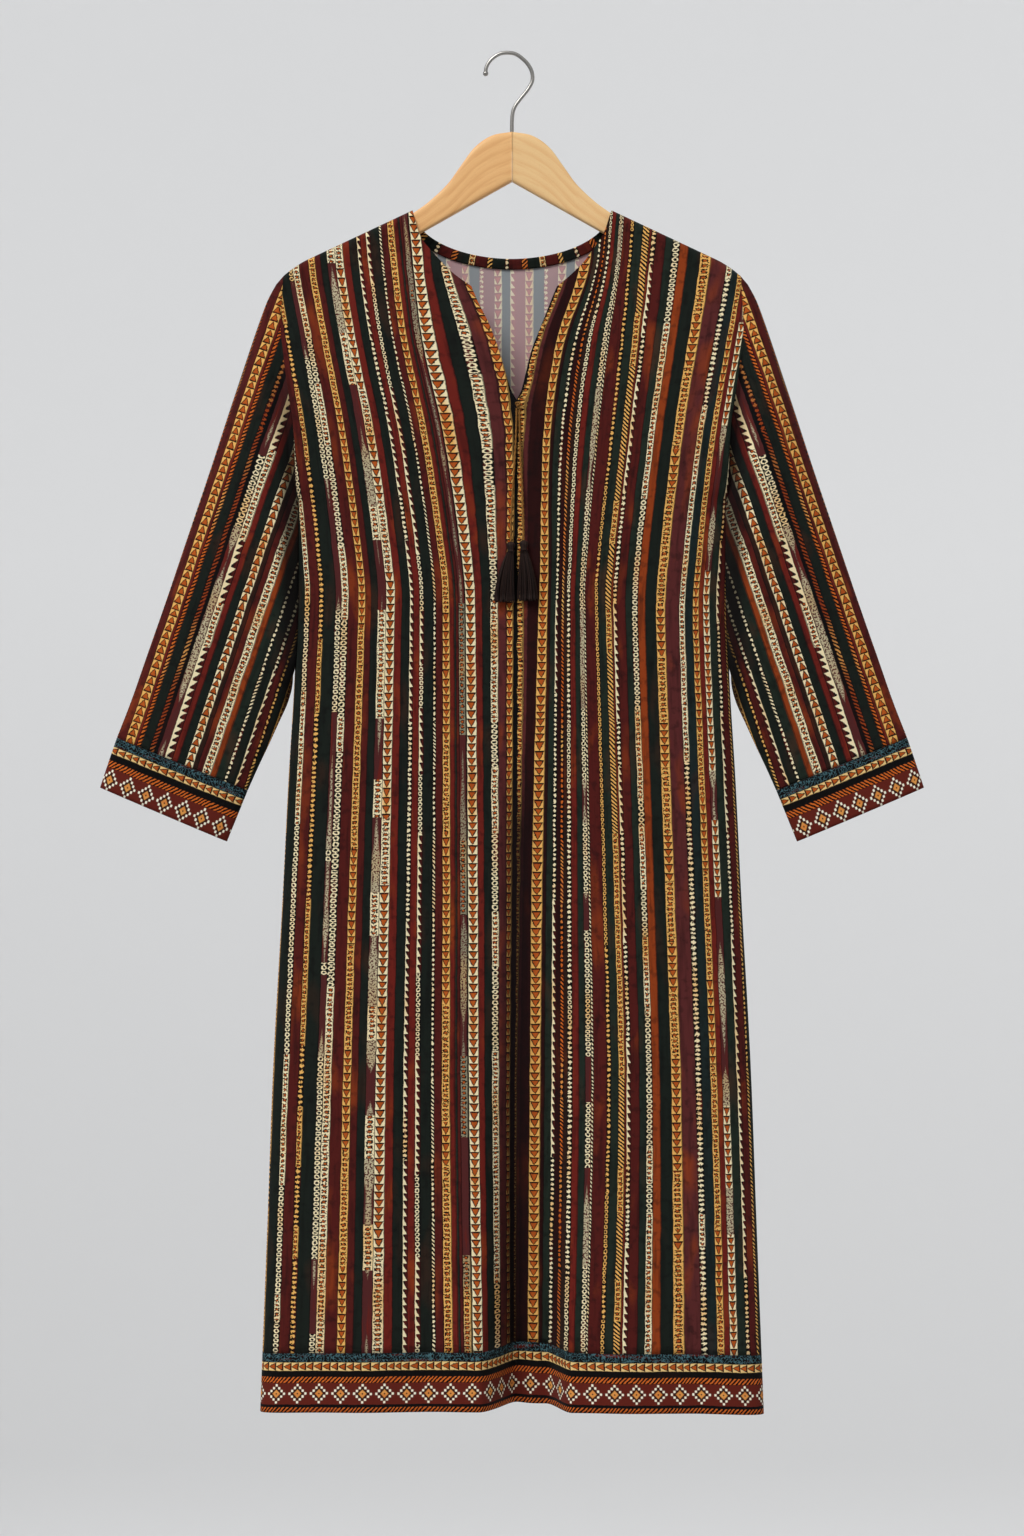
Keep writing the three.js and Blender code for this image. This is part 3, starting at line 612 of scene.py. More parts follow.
# Charts of the print: each row is a stripe's width in mm, its colour, its motif if it has one, and the motif
# that it changes to further along, if it does
FRONT_CHART_START = -262.0
FRONT_CHART = [
    (12, "maroon"), (6, "gold", RINGS, BEADS), (12.7, "dark green"), (6.6, "cream", CHAIN, RINGS),
    (10.4, "maroon"), (5.6, "gold", BEADS, RINGS), (13.2, "dark green"), (6.7, "cream", SCRIBBLE, CHAIN),
    (8.1, "cream", RINGS, CHAIN), (11.7, "maroon"), (8, "gold", CHEVRONS, RINGS), (7, "maroon"),
    (8, "dark green"), (9.6, "cream", SCRIBBLE, RINGS), (10.2, "cream", CHEVRONS, RINGS), (8.2, "red"),
    (9, "dark green"), (5, "cream", TEETH, BEADS), (7, "red"), (5, "cream", CHAIN, TEETH),
    (10.7, "dark green"), (3.5, "cream", BEADS, STROKES), (7.5, "maroon"), (8.3, "gold", RINGS, CHEVRONS),
    (5, "red"), (2.5, "green"), (3, "maroon"), (7.1, "grey cream", SCRIBBLE, RINGS), (1.4, "black"),
    (10, "cream", CHEVRONS), (6, "red"), (7, "dark green"), (7, "cream", RINGS, CHAIN), (7.3, "mauve"),
    (3.2, "gold", CHEVRONS), (5, "black"), (2, "gold", RINGS), (3.5, "mauve"), (9.5, "dark maroon"),
    (10.5, "gold", CHEVRONS), (4, "dark maroon"), (7, "green"), (4, "cream", BEADS, TEETH),
    (4.8, "dark maroon"), (3.2, "orange", STROKES, BEADS), (4, "brown"), (5, "cream", BEADS, CHAIN),
    (6.5, "red"), (6.5, "green"), (6, "cream", CHAIN, SCRIBBLE), (2, "cream", STROKES), (13.3, "maroon"),
    (4, "gold", CHAIN, BEADS), (7.7, "green"), (6, "gold", STROKES, RINGS), (2, "red"),
    (4.3, "cream", TEETH, BEADS), (8.7, "maroon"), (6.5, "green"), (6.5, "cream", RINGS, CHAIN),
    (7.5, "rust"), (11.5, "dark green"), (9.7, "gold", RINGS, CHEVRONS), (14.8, "mauve"),
    (6.1, "cream", RINGS, BEADS), (8.9, "blue green"), (6.7, "gold", RINGS, CHEVRONS), (5.4, "red"),
    (7.2, "cream", SCRIBBLE, CHEVRONS), (8.2, "green"), (4, "cream", TEETH, BEADS), (7.6, "maroon"),
    (3.2, "gold", STROKES, BEADS), (9.2, "dark green"), (8, "cream", CHEVRONS, RINGS), (15, "maroon"),
]

BACK_UNIT = [
    (5, "cream", BEADS), (11, "maroon"), (9, "cream", RINGS, CHEVRONS), (9, "dark green"),
    (6, "cream", TEETH), (11.5, "mauve"), (8.5, "gold", RINGS, CHEVRONS), (12.5, "blue green"),
]
BACK_CHART_START = -254.0
BACK_CHART = BACK_UNIT * 7

SLEEVE_CHART_START = -26.0
SLEEVE_CHART = [
    (8, "maroon"), (7, "cream", RINGS, CHAIN), (8, "dark green"), (3, "orange", STROKES, BEADS),
    (9.5, "maroon"), (9.7, "gold", CHEVRONS), (2.8, "red"), (4, "orange", STROKES), (10, "dark green"),
    (5, "rust", STROKES, BEADS), (3.5, "black"), (8, "cream", SCRIBBLE, CHAIN),
    (7.5, "cream", TEETH, RINGS), (6, "red"), (8, "dark green"), (8.5, "cream", CHEVRONS), (4.5, "brown"),
    (6, "maroon"), (8.5, "cream", RINGS), (5.5, "rust"), (9, "green"), (3.5, "cream", BEADS, STROKES),
    (8.5, "dark green"), (3.5, "cream", TEETH, BEADS), (6.5, "maroon"), (3, "gold", STROKES, BEADS),
    (8, "dark green"), (8.5, "gold", CHEVRONS, RINGS), (24, "maroon"),
]

HEM_CHART = [
    (8.9, "teal", CURLS), (8.6, "straw", CHEVRONS), (5.8, "black"), (6.2, "orange", STROKES),
    (21.5, "brick", LOZENGES), (2.7, "black"), (5.6, "orange", STROKES), (3, "black"),
]
CUFF_CHART = [
    (9.1, "teal", CURLS), (7.4, "straw", CHEVRONS), (6.6, "black"), (7.4, "orange", STROKES),
    (24, "brick", LOZENGES), (3, "black"),
]
BINDING_CHART = [
    (12.5, "maroon"), (5, "gold", STROKES), (12.5, "dark green"), (4, "cream", BEADS), (13, "maroon"),
    (6, "orange", STROKES), (12, "dark green"), (6, "cream", RINGS),
]

# Rows in one stepped ramp, and the widest stripe that its colours can hold
GROUP_ROWS = 30
WIDEST = 40.0

# Length of one motif along its stripe, and turns of the slanting strokes in one mm
MOTIF_PITCH = 8.0
SMALL_PITCH = 5.0
STROKE_TURNS = 1.55
LOZENGE_PITCH = 21.8
CUFF_LOZENGE_PITCH = 20.5

# How far the stripes wander and shake, and how far the motifs slip along them
WANDER = 1.6
SHAKE = 1.0
SLIP = 9.0
SLIP_SHAKE = 1.2
STRIPE_SHIFT = 3.7

# Dark band of painted shade down the middle of the skirt, in the valley of its fold: its position in the
# chart, half width, top and fade
DEEP_MIDDLE = 3.5
DEEP_HALF = 15.0
DEEP_TOP = -690.0
DEEP_FADE = 90.0
MIDDLE_SHADE_TONE = tone(18, 7, 8)

# Painted shade in the crease where a sleeve meets the body: distance from the middle line, reach, top and
# fade
CREASE_FROM_MIDDLE = 236.0
CREASE_REACH = 11.0
CREASE_TOP = -290.0
CREASE_FADE = 90.0
CREASE_SHADE_TONE = tone(14, 9, 9)

# Wrong side of the cloth: how far the print is faded, and what it fades to
WRONG_SIDE = 0.72
PALE_BLUE = tone(180, 192, 196)
PALE_PINK = tone(234, 190, 192)
PALE_MOTIF = tone(252, 242, 222)


def chart_lookups(shader, position, chart, start):
    """Colour of the stripe at a position, its two motifs, middle and half width, from stepped ramps."""
    total = sum(row[0] for row in chart)
    look = make = other = None
    edge = 0.0
    for first in range(0, len(chart), GROUP_ROWS):
        rows = chart[first:first + GROUP_ROWS]
        width = sum(row[0] for row in rows)
        colours = []
        makes = []
        at = 0.0
        for row_width, colour, *motifs in rows:
            motifs = motifs or [PLAIN]
            middle = (edge + at + row_width / 2) / total
            facts = (motifs[0] / KINDS, middle, row_width / WIDEST, motifs[-1] / KINDS)
            colours.append((at / width, TONES[colour]))
            makes.append((at / width, facts))
            at += row_width
        share = (position - (start + edge)) / width
        group_look = shader.node("ValToRGB", {"stops": colours}, {0: share})
        group_make = shader.node("ValToRGB", {"stops": makes}, {0: share})
        group_other = Value(shader, group_make.socket.node.outputs[1])
        if look is None:
            look = group_look
            make = group_make
            other = group_other
        else:
            reached = share > 0.0
            look = shader.blend(reached, look, group_look)
            make = shader.blend(reached, make, group_make)
            other = other + (group_other - other) * reached
        edge += width
    motif, middle, half = shader.parts_of(make, "SeparateColor")
    return look, motif * KINDS, other * KINDS, middle * total + start, half * (WIDEST / 2)


def motif_shapes(kind, a, t, stroke, shown, curl, rough):
    """Light cover and warm core of the motif at a point: a runs across the stripe and t along one motif."""
    rise = (t + 1.0) * 0.5
    far = (a * a + t * t) ** 0.5
    square = abs(a).largest(abs(t) * 0.9)
    fin = ((1.0 - rise) * 1.35).smallest(1.0) * (rise > 0.22)
    triangle = rise ** 0.75 * 0.98 - abs(a) + rough * 0.35
    bead = 0.5 - abs(t) * 0.85 - (a + rough) * (a + rough) * 0.55
    scrawl = (shown - abs(a) * 0.9).smallest(0.15 - rough * 4.5)
    shapes = {
        CHEVRONS: (0.02 - triangle).edge(9.0),
        TEETH: (fin * 1.35 - 0.5 - a + rough * 0.5).edge(5.0),
        RINGS: (square - 0.6 + rough * 1.7).edge(6.0),
        BEADS: (bead + rough * 1.6).edge(6.0),
        CHAIN: (0.2 - abs(far - 0.66) + rough * 0.9).edge(6.0),
        SCRIBBLE: scrawl.edge(2.5),
        STROKES: (stroke + rough * 2.2).edge(3.0),
        CURLS: (0.035 - abs(curl - 0.5)).edge(22.0),
    }
    cover = 0.0
    for number, shape in shapes.items():
        cover = kind.is_motif(number) * shape + cover
    heart = kind.is_motif(CHEVRONS) * (triangle - 0.22).edge(9.0) * (0.82 - rise).edge(9.0)
    eye = kind.is_motif(RINGS) * (0.3 - square).edge(6.0)
    return cover, heart + eye


def lozenge_shapes(a, t):
    """Round beads along a lozenge, where the distances along and across add up, and one inside it."""
    leaning = abs(t) * 1.07
    both = abs(a) + leaning
    bead = ((abs(a) - leaning - 0.8) * 11.8 + 1.571).sine()
    string = (0.12 - abs(both - 0.8) + (bead - 0.35) * 0.1).edge(12.0)
    centre = (0.4 - both).edge(9.0) * (both - 0.09).edge(12.0)
    shade = (0.66 - both).edge(9.0)
    return string, centre, shade


def motif_colours(shader, look, kind, a, half, patches, slow, cover, core, warm_share):
    """Light and ink of a stripe with motifs: some run warm, scribbles are grey, and edges are outlined."""
    arrows = kind.is_motif(CHEVRONS)
    smear = kind.is_motif(SCRIBBLE)
    warm = ((slow - 0.5) * 5.0).largest(0.0) + arrows * (0.55 - abs(a)) * 1.2
    light = shader.blend((warm * warm_share).limited(), look, TONES["gold"])
    light = shader.blend(smear * 0.6, light, TONES["grey cream"])
    embers = shader.blend(patches, TONES["rust"], TONES["orange"])
    ink = shader.blend(core, TONES["black"], embers)
    ink = shader.blend(smear * 0.85, ink, TONES["mauve"])
    red_ink = ((patches - 0.55) * 7.0).limited()
    ink = shader.blend(red_ink * (1.0 - core) * 0.8, ink, TONES["red"])
    beyond = kind.is_motif(TEETH) * (a * 1.4 + 0.1).limited()
    ink = shader.blend(beyond * 0.9, ink, TONES["maroon"])
    outline = (abs(a) * half - half + 0.35).edge(3.0)
    return shader.blend(outline * 0.75, shader.blend(cover, ink, light), TONES["black"])


def lozenge_colours(shader, look, a, t, patches):
    """White beads round a dark lozenge with a warm heart."""
    string, centre, shade = lozenge_shapes(a, t)
    beaded = shader.blend(shade * 0.75, look, TONES["black"])
    beaded = shader.blend(centre, beaded, shader.blend(patches, TONES["orange"], TONES["gold"]))
    return shader.blend(string, beaded, TONES["white"])


def ground_colours(shader, look, warmth, spot, wide, a, half, patches):
    """Plain stripe: rust glows on warm grounds, with dusky patches, specks and dark edges."""
    hot = ((wide - 0.56) * 7.0).limited()
    ground = shader.blend(hot * warmth * 0.85, look, TONES["rust"])
    dusk = ((0.5 - patches) * 6.0).limited()
    ground = shader.blend(dusk * 0.4, ground, TONES["black"])
    specks = ((0.47 - shader.noise(spot, 110.0, 4.0)) * 8.0).limited()
    ground = shader.blend(specks * 0.4, ground, TONES["black"])
    edge_line = (abs(a) * half - half + 0.5).edge(2.5)
    return shader.blend(edge_line * 0.6, ground, TONES["black"])


def middle_shade(across, along):
    """Share of the painted shade down the middle of the skirt, in the valley of its fold."""
    near = (1.25 - abs(across - DEEP_MIDDLE) / DEEP_HALF).limited()
    low = ((DEEP_TOP - along) / DEEP_FADE).limited()
    return near * low * 0.88


def crease_shade(across, along):
    """Share of the painted shade in the crease, from the place on the garment that a sleeve's print position
    stands for.
    """
    lean_x, lean_z = SLEEVE_ACROSS.tolist()
    start_x, start_z = SLEEVE_ORIGIN.tolist()
    from_middle = start_x + across * lean_x - along * lean_z
    height = start_z + across * lean_z + along * lean_x
    near = ((CREASE_FROM_MIDDLE - from_middle) / CREASE_REACH).limited()
    low = ((CREASE_TOP - height) / CREASE_FADE).limited()
    return near * low * 0.85


def printed_cloth(
    name, chart, start, turned=False, faded=0.0, repeat=False, lozenge_pitch=LOZENGE_PITCH, warm_share=0.75,
    paint_middle_shade=False, paint_crease_shade=False,
):
    """Cloth with a chart's stripes and motifs. Turned swaps across and along; faded is the wrong side."""
    shader = Shader(name)
    across, along = shader.print_map()
    if turned:
        across, along = along, across
    spot = shader.place(across * MM, along * MM)
    drift = shader.noise(spot, 38.0, 1.0) - 0.5
    shake = shader.noise(spot, 240.0, 2.0) - 0.5
    rough = shader.noise(spot, 560.0, 1.0) - 0.5
    patches = shader.noise(shader.place(across * 0.004, along * 0.0004), 46.0, 3.0)
    position = across + drift * WANDER + shake * SHAKE
    if repeat:
        unit = sum(row[0] for row in chart)
        position = (position / unit).fraction() * unit
    look, motif, other, middle, half = chart_lookups(shader, position, chart, start)

    def stripe_noise(step, scale, detail):
        """Noise along a stripe, another for each stripe."""
        return shader.noise(shader.place(middle * step, along * MM), scale, detail)

    kind = motif + (other - motif) * (stripe_noise(0.31, 9.0, 0.0) > 0.52)
    a = (position - middle) / half
    slip = (stripe_noise(0.17, 30.0, 1.0) - 0.5) * SLIP + shake * SLIP_SHAKE
    moved = along + slip + middle * STRIPE_SHIFT
    large_t = (moved / MOTIF_PITCH).fraction() * 2.0 - 1.0
    small_t = (moved / SMALL_PITCH).fraction() * 2.0 - 1.0
    t = large_t + (small_t - large_t) * (kind > TEETH + 0.5)
    lozenge_t = ((along + drift * 1.5) / lozenge_pitch).fraction() * 2.0 - 1.0
    stroke = ((moved + a * half * 0.9) * STROKE_TURNS).sine() - 0.1
    slow = stripe_noise(0.05, 14.0, 1.0)
    shown = (stripe_noise(0.4, 13.0, 1.0) - 0.44) * 7.0
    curl = shader.noise(spot, 300.0, 1.0)
    cover, core = motif_shapes(kind, a, t, stroke, shown, curl, rough)
    motifs = motif_colours(shader, look, kind, a, half, patches, slow, cover, core, warm_share)
    lozenges = lozenge_colours(shader, look, a, lozenge_t, patches)
    motifs = shader.blend(kind.is_motif(LOZENGES), motifs, lozenges)

    redness, _, _ = shader.parts_of(look, "SeparateColor")
    warmth = (redness * 8.0).smallest(1.0)
    wide = shader.noise(shader.place(across * MM, along * 0.0004), 30.0, 2.0)
    ground = ground_colours(shader, look, warmth, spot, wide, a, half, patches)
    plain = kind < 0.5
    colour = shader.blend(plain, motifs, ground)
    # Painted shade down the middle of the skirt, in the valley of its fold
    if paint_middle_shade:
        colour = shader.blend(middle_shade(across, along), colour, MIDDLE_SHADE_TONE)
    # Painted shade in the crease where the sleeve meets the body
    if paint_crease_shade:
        colour = shader.blend(crease_shade(across, along), colour, CREASE_SHADE_TONE)
    if faded:
        pale = shader.blend(warmth, PALE_BLUE, PALE_PINK)
        pale = shader.blend(cover * (1.0 - plain), pale, PALE_MOTIF)
        colour = shader.blend(faded, colour, pale)
    grain = shader.noise(spot, 900.0, 1.0)
    weave = (across * 9.0).sine() * (along * 9.0).sine() * 0.5 + grain * 0.6
    return shader.surface(colour, 0.8 + grain * 0.1, weave, 0.0001, Sheen_Weight=0.02, Specular_IOR_Level=0.1)


def thread_material(name, dark, light, twist):
    """Twisted or combed thread: plies are sines along and round it. Each strand has a tone of its own."""
    shader = Shader(name)
    along, round_it = shader.print_map()
    ply = ((along * twist + round_it * 2.6).sine() * 0.5 + 0.5) ** 1.5
    fuzz = shader.noise(shader.place(along * 0.002, round_it * 0.02), 400.0, 2.0)
    strand = shader.noise(shader.place(0.0, round_it * 0.01), 7.0, 0.0)
    toned = ((strand - 0.5) * 3.0 + 0.3).limited()
    colour = shader.blend(ply * 0.4 + fuzz * 0.2 + toned * 0.4, dark, light)
    return shader.surface(colour, 0.6 + fuzz * 0.2, ply + fuzz * 0.3, 0.0002, Specular_IOR_Level=0.25)


def wood_material(name, pale, deep):
    """Lacquered pale wood: long grain lines stretched along the arm, and short dark flecks."""
    shader = Shader(name)
    along, round_it = shader.print_map()
    grain = shader.noise(shader.place(along * 0.0012, round_it * 0.012), 26.0, 5.0)
    rings = ((round_it * 0.55 + grain * 7.0 + along * 0.012).sine() * 0.5 + 0.5) ** 2.0
    flecks = shader.noise(shader.place(along * 0.008, round_it * 0.1), 60.0, 2.0)
    colour = shader.blend(rings * 0.35 + (grain - 0.4) * 0.7, pale, deep)
    colour = shader.blend((flecks - 0.64).edge(12.0) * 0.3, colour, tone(186, 122, 64))
    relief = rings * 0.3 + flecks * 0.3
    return shader.surface(colour, 0.42 + grain * 0.2, relief, 0.00012, Coat_Weight=0.1, Coat_Roughness=0.35)


def steel_material(name):
    """Satin wire: fine drawn lines along its length."""
    shader = Shader(name)
    along, round_it = shader.print_map()
    drawn = shader.noise(shader.place(along * 0.002, round_it * 0.2), 60.0, 4.0)
    spots = shader.noise(shader.place(along * 0.02, round_it * 0.02), 30.0, 2.0)
    colour = shader.blend(spots, tone(150, 146, 140), tone(196, 193, 188))
    return shader.surface(colour, 0.24 + drawn * 0.22, drawn, 0.00004, Metallic=1.0)


def both_sides(name, chart, start, right_only, **shared):
    """Looks of a cloth's right side, and of its wrong side, where the print is faded."""
    return (
        printed_cloth(f"{name}_print", chart, start, **right_only, **shared),
        printed_cloth(f"{name}_reverse", chart, start, faded=WRONG_SIDE, **shared),
    )


cool = {"warm_share": 0.0}
# The front's print carries painted shade down the middle of the skirt
front_looks = both_sides("front", FRONT_CHART, FRONT_CHART_START, {"paint_middle_shade": True})
back_looks = both_sides("back", BACK_CHART, BACK_CHART_START, {})
# The sleeves' print carries painted shade in the crease by the body
sleeve_looks = both_sides("sleeve", SLEEVE_CHART, SLEEVE_CHART_START, {"paint_crease_shade": True})
hem_looks = both_sides("hem", HEM_CHART, 0.0, cool, turned=True)
cuff_looks = both_sides("cuff", CUFF_CHART, 0.0, cool, turned=True, lozenge_pitch=CUFF_LOZENGE_PITCH)
binding_print = printed_cloth("binding_print", BINDING_CHART, 0.0, repeat=True)
tie_thread = thread_material("tie_thread", tone(24, 14, 10), tone(214, 146, 58), 1.1)
tassel_thread = thread_material("tassel_thread", tone(8, 4, 3), tone(60, 37, 29), 0.02)
light_wood = wood_material("light_wood", tone(255, 212, 150), tone(240, 178, 112))
warm_wood = wood_material("warm_wood", tone(254, 199, 132), tone(228, 156, 88))
hook_steel = steel_material("hook_steel")


# Ties, tassels and knot
def in_front(x, z, radius):
    """Points just clear of the front panel."""
    return np.stack([x, panel_surface("front", x, z) - SEAM_GAP - radius, z], -1)


def tie_route(spec):
    """Middle line of a tie: eased across from the knot to its tassel, and straight on into its head."""
    share = np.linspace(0, 1, 36)
    eased = smooth_step(share)
    top = KNOT["z"] - KNOT["radius"] - SEAM_GAP
    away = mix(TIE_RADIUS, TASSEL_HEAD_RADIUS, eased)
    hanging = in_front(mix(spec["tie"], spec["head"], eased), mix(top, spec["z"], share), away)
    inside = hanging[-1] + TIE_INSIDE_HEAD
    return np.concatenate([hanging, inside])


def tie(side, spec):
    """Two-ply cord: a tube whose radius swells twice round and turns along it."""
    path = tie_route(spec)
    fine = np.linspace(0, 1, 260)
    steps = np.linspace(0, 1, len(path))
    route = np.stack([np.interp(fine, steps, path[:, axis]) for axis in range(3)], -1)
    length = float(distance_along(route)[-1])
    turn = (fine * length / TIE_TURN_LENGTH * 2 * np.pi)[:, None]
    ply = np.abs(np.cos(round_angles(12)[None, :] - turn / 2))
    radius = TIE_RADIUS * (0.78 + 0.286 * ply)
    made = piece_from(f"tie_{side}", [tube_part(route, radius, 12, FORWARD)], tie_thread)
    finish_piece(made, f"tie_cord_{side}")
    return made, path, length


def tassel(side, spec):
    """Bound head turned from a half outline with wound ripples, and fine strands that spread to an oval."""
    head_z = spec["z"] - TASSEL_HEAD_HEIGHT / 2
    middle = in_front(np.array(spec["head"]), np.array(head_z), TASSEL_HEAD_RADIUS)
    share = np.linspace(0, 1, 40)
    outline = TASSEL_HEAD_RADIUS * smooth_table(TASSEL_HEAD_SHARES, TASSEL_HEAD_OUTLINE, share)
    wound = 1 + 0.05 * np.sin(share * 2 * np.pi * 9) * smooth_step((share - 0.5) / 0.1)
    path = middle + np.stack([0 * share, 0 * share, TASSEL_HEAD_HEIGHT * (0.5 - share)], -1)
    parts = [tube_part(path, outline * wound, 28, FORWARD)]
    rng = np.random.default_rng(7 if side == "left" else 11)
    root_z = middle[2] - TASSEL_HEAD_HEIGHT / 2 + 1
    tip_z = spec["z"] - TASSEL_HEAD_HEIGHT - TASSEL_SKIRT
    way = np.linspace(0, 1, 9)
    spread = 1 - (1 - way) ** 2
    for _ in range(TASSEL_STRANDS):
        angle = rng.uniform(0, 2 * np.pi)
        reach = math.sqrt(rng.uniform(0, 1))
        curl = rng.normal(0, 0.5, 2)
        x = mix(spec["head"], spec["tip"], spread) + reach * mix(*TASSEL_WIDTH, spread) * math.cos(angle)
        y = middle[1] - TASSEL_FORWARD * spread + reach * mix(*TASSEL_DEPTH, spread) * math.sin(angle)
        z = mix(root_z, tip_z + rng.uniform(0, 3.5), way)
        x = x + curl[0] * np.sin(way * 5 + angle) * way
        y = y + 0.6 * curl[1] * np.cos(way * 4 + angle) * way
        strand = np.stack([x, y, z], -1)
        own_tone = (100, rng.uniform(0, 900))
        parts.append(tube_part(strand, np.full(9, STRAND_RADIUS), 4, FORWARD, own_tone))
    made = piece_from(f"tassel_threads_{side}", parts, tassel_thread)
    return finish_piece(made, f"tassel_{side}")


def knot():
    """Overhand knot: a trefoil, sine and cosine of one turn and of two, squeezed to the knot's size."""
    turn = np.linspace(0, 2 * np.pi, 120)
    size = 0.82
    line = np.stack([
        size * (np.sin(turn) + 1.6 * np.sin(2 * turn)),
        -0.9 * np.sin(3 * turn),
        size * (np.cos(turn) - 1.6 * np.cos(2 * turn)),
    ], -1)
    middle = in_front(np.array(float(KNOT["x"])), np.array(KNOT["z"]), KNOT["radius"])
    wound = tube_part(line + middle, np.full(120, KNOT["thread"]), 12, FORWARD)
    made = piece_from("knot", [wound], tie_thread)
    return finish_piece(made, "tie_knot")


def ties_and_tassels():
    tied = knot()
    for side, spec in TASSELS.items():
        made, path, length = tie(side, spec)
        head = tassel(side, spec)


ties_and_tassels()


# Panels
RIDGE_ROWS = 10
FINE_TO = 54
COLUMN_STEP = 3.1
BACK_PRINT_HALF = 241
SIDE_STEPS = [12.5, 9.5, 6.5, 4.0, 2.4, 1.3, 0.6, 0.2, 0.05]


def panel_columns(fine_step, corners):
    """Columns across a panel at the shoulder: fine in the middle, then even, then closing in on the side."""
    middle = np.arange(0, FINE_TO, fine_step)
    outer = np.arange(FINE_TO, SHOULDER_HALF - SIDE_STEPS[0] - 1, COLUMN_STEP)
    side = SHOULDER_HALF - np.array(SIDE_STEPS)
    right = np.concatenate([middle, outer, side, [SHOULDER_HALF]])
    columns = np.unique(np.round(np.concatenate([-right, right, corners]), 4))
    keep = np.concatenate([[True], np.diff(columns) > 0.04])
    return columns[keep]


def panel_points(panel, columns, top_of):
    """Grid of a panel: rows follow the ridge's quarter circle, then run evenly to underarm and border."""
    inner = np.abs(columns) < NECK_HALF
    top = top_of(columns)
    for _ in range(12):
        top = top_of(np.where(inner, columns * half_width(top) / SHOULDER_HALF, columns))
    foot_x = columns * half_width(HEM_Z) / SHOULDER_HALF
    foot = HEM_Z + border_height(panel, foot_x) + hem_sag(foot_x, HEM_Z)
    turn = np.linspace(0, np.pi / 2, RIDGE_ROWS)
    ridge = top[None, :] - RIDGE_RADIUS * (1 - np.cos(turn))[:, None]
    upper = mix(ridge[-1][None, :], UNDERARM_Z, np.linspace(0, 1, 43)[1:, None])
    lower = mix(UNDERARM_Z, foot[None, :], np.linspace(0, 1, 115)[1:, None])
    z = np.concatenate([ridge, upper, lower])
    x = columns[None, :] * half_width(z) / SHOULDER_HALF
    x[0] = np.where(inner, x[0], columns)
    return np.stack([x, panel_surface(panel, x, z), z], -1)


def print_height(points):
    """Position along the print: the height, and over the ridge the way up round its quarter circle."""
    ridge = points[:RIDGE_ROWS]
    up = np.linalg.norm(np.diff(ridge, axis=0), axis=-1)[::-1]
    climbed = np.concatenate([np.zeros((1, points.shape[1])), np.cumsum(up, axis=0)])[::-1]
    return np.concatenate([ridge[-1:, :, 2] + climbed, points[RIDGE_ROWS:, :, 2]])


def side_excess(points):
    """How much longer the cloth is than it looks from the front, counted only near the side seams."""
    step = np.diff(points[..., [0, 1]], axis=1)
    longer = np.linalg.norm(step, axis=-1) - np.abs(step[..., 0])
    middle_x = (points[:, 1:, 0] + points[:, :-1, 0]) / 2
    near_side = np.abs(middle_x) > 0.8 * half_width(points[:, 1:, 2])
    longer = longer * near_side
    none = np.zeros((len(points), 1))
    right = np.cumsum(longer * (middle_x > 0), axis=1)
    left = np.cumsum((longer * (middle_x < 0))[:, ::-1], axis=1)[:, ::-1]
    return np.concatenate([none, right], 1) - np.concatenate([left, none], 1)


# Guide stripes: the chart's position of each, and its x at the guide heights
GUIDE_Z = [-1361, -1049, -849, -569, -528, -387, -293, -222, -160]
LEFT_GUIDES = {
    -262: [-275, -262, -252, -237, -237, -250, -264, -272, -275],
    -187: [-196, -187, -180, -169, -169, -187, -204, -218, -224],
    -38: [-32, -38, -39, -42, -43.5, -64, -85, -94, -100],
    -5.6: [-5, -5.6, -5.8, -6, -6, -7.6, -24, -51, -58],
    -2.4: [-2, -2.4, -0.5, 1.6, 1.6, 1.2, -12.5, -39.5, -47],
}
RIGHT_GUIDES = {
    4.6: [4, 4.6, 8, 12.2, 12.2, 12, 29, 54.5, 62],
    17.5: [15, 17.5, 19, 26, 28, 31.5, 44, 66, 76],
    28: [26, 28, 30, 35, 36, 38, 52, 76, 84],
    96: [87, 96, 92, 84, 84, 99, 109, 116, 121],
    187: [194, 187, 180, 170, 172, 188, 205, 218, 226],
    262: [275, 262, 252, 237, 237, 250, 264, 273, 278],
}
SLIT_POSITION = 2.4
SLIT_Z = [-1361, -1049, -849, -569, -350, -339, -307, -277, -250, -236, -200, -160]
SLIT_MIDDLE = [1, 2.4, 4, 4.5, 4.5, 4.5, 4, 3.5, 3, 2.5, 2, 1.5]
SLIT_OPENING = [0, 0, 0, 0, 0, 5.5, 14, 24.5, 37, 43, 47, 49]


def print_position(x, z):
    """Position in the front's chart: straight between guide stripes that run from hem to shoulder."""
    middle = smooth_table(SLIT_Z, SLIT_MIDDLE, z)
    opening = np.interp(z, SLIT_Z, SLIT_OPENING)
    found = np.zeros(x.shape)
    for guides, side in ((LEFT_GUIDES, -1), (RIGHT_GUIDES, 1)):
        stations = [(SLIT_POSITION, middle + side * opening)]
        for key in sorted(guides, key=abs):
            stations.append((key, smooth_table(GUIDE_Z, guides[key], z)))
        for i, ((near, near_x), (far, far_x)) in enumerate(zip(stations, stations[1:])):
            share = (x - near_x) / (far_x - near_x)
            last = i == len(stations) - 2
            inside = (share >= 0) if last else (share >= 0) & (share < 1)
            found = np.where(inside & (side * (x - middle) >= 0), mix(near, far, share), found)
    return found


def corner_column(x, z):
    """Column at the shoulder that passes through a point of the neckline."""
    return x * SHOULDER_HALF / float(half_width(z))


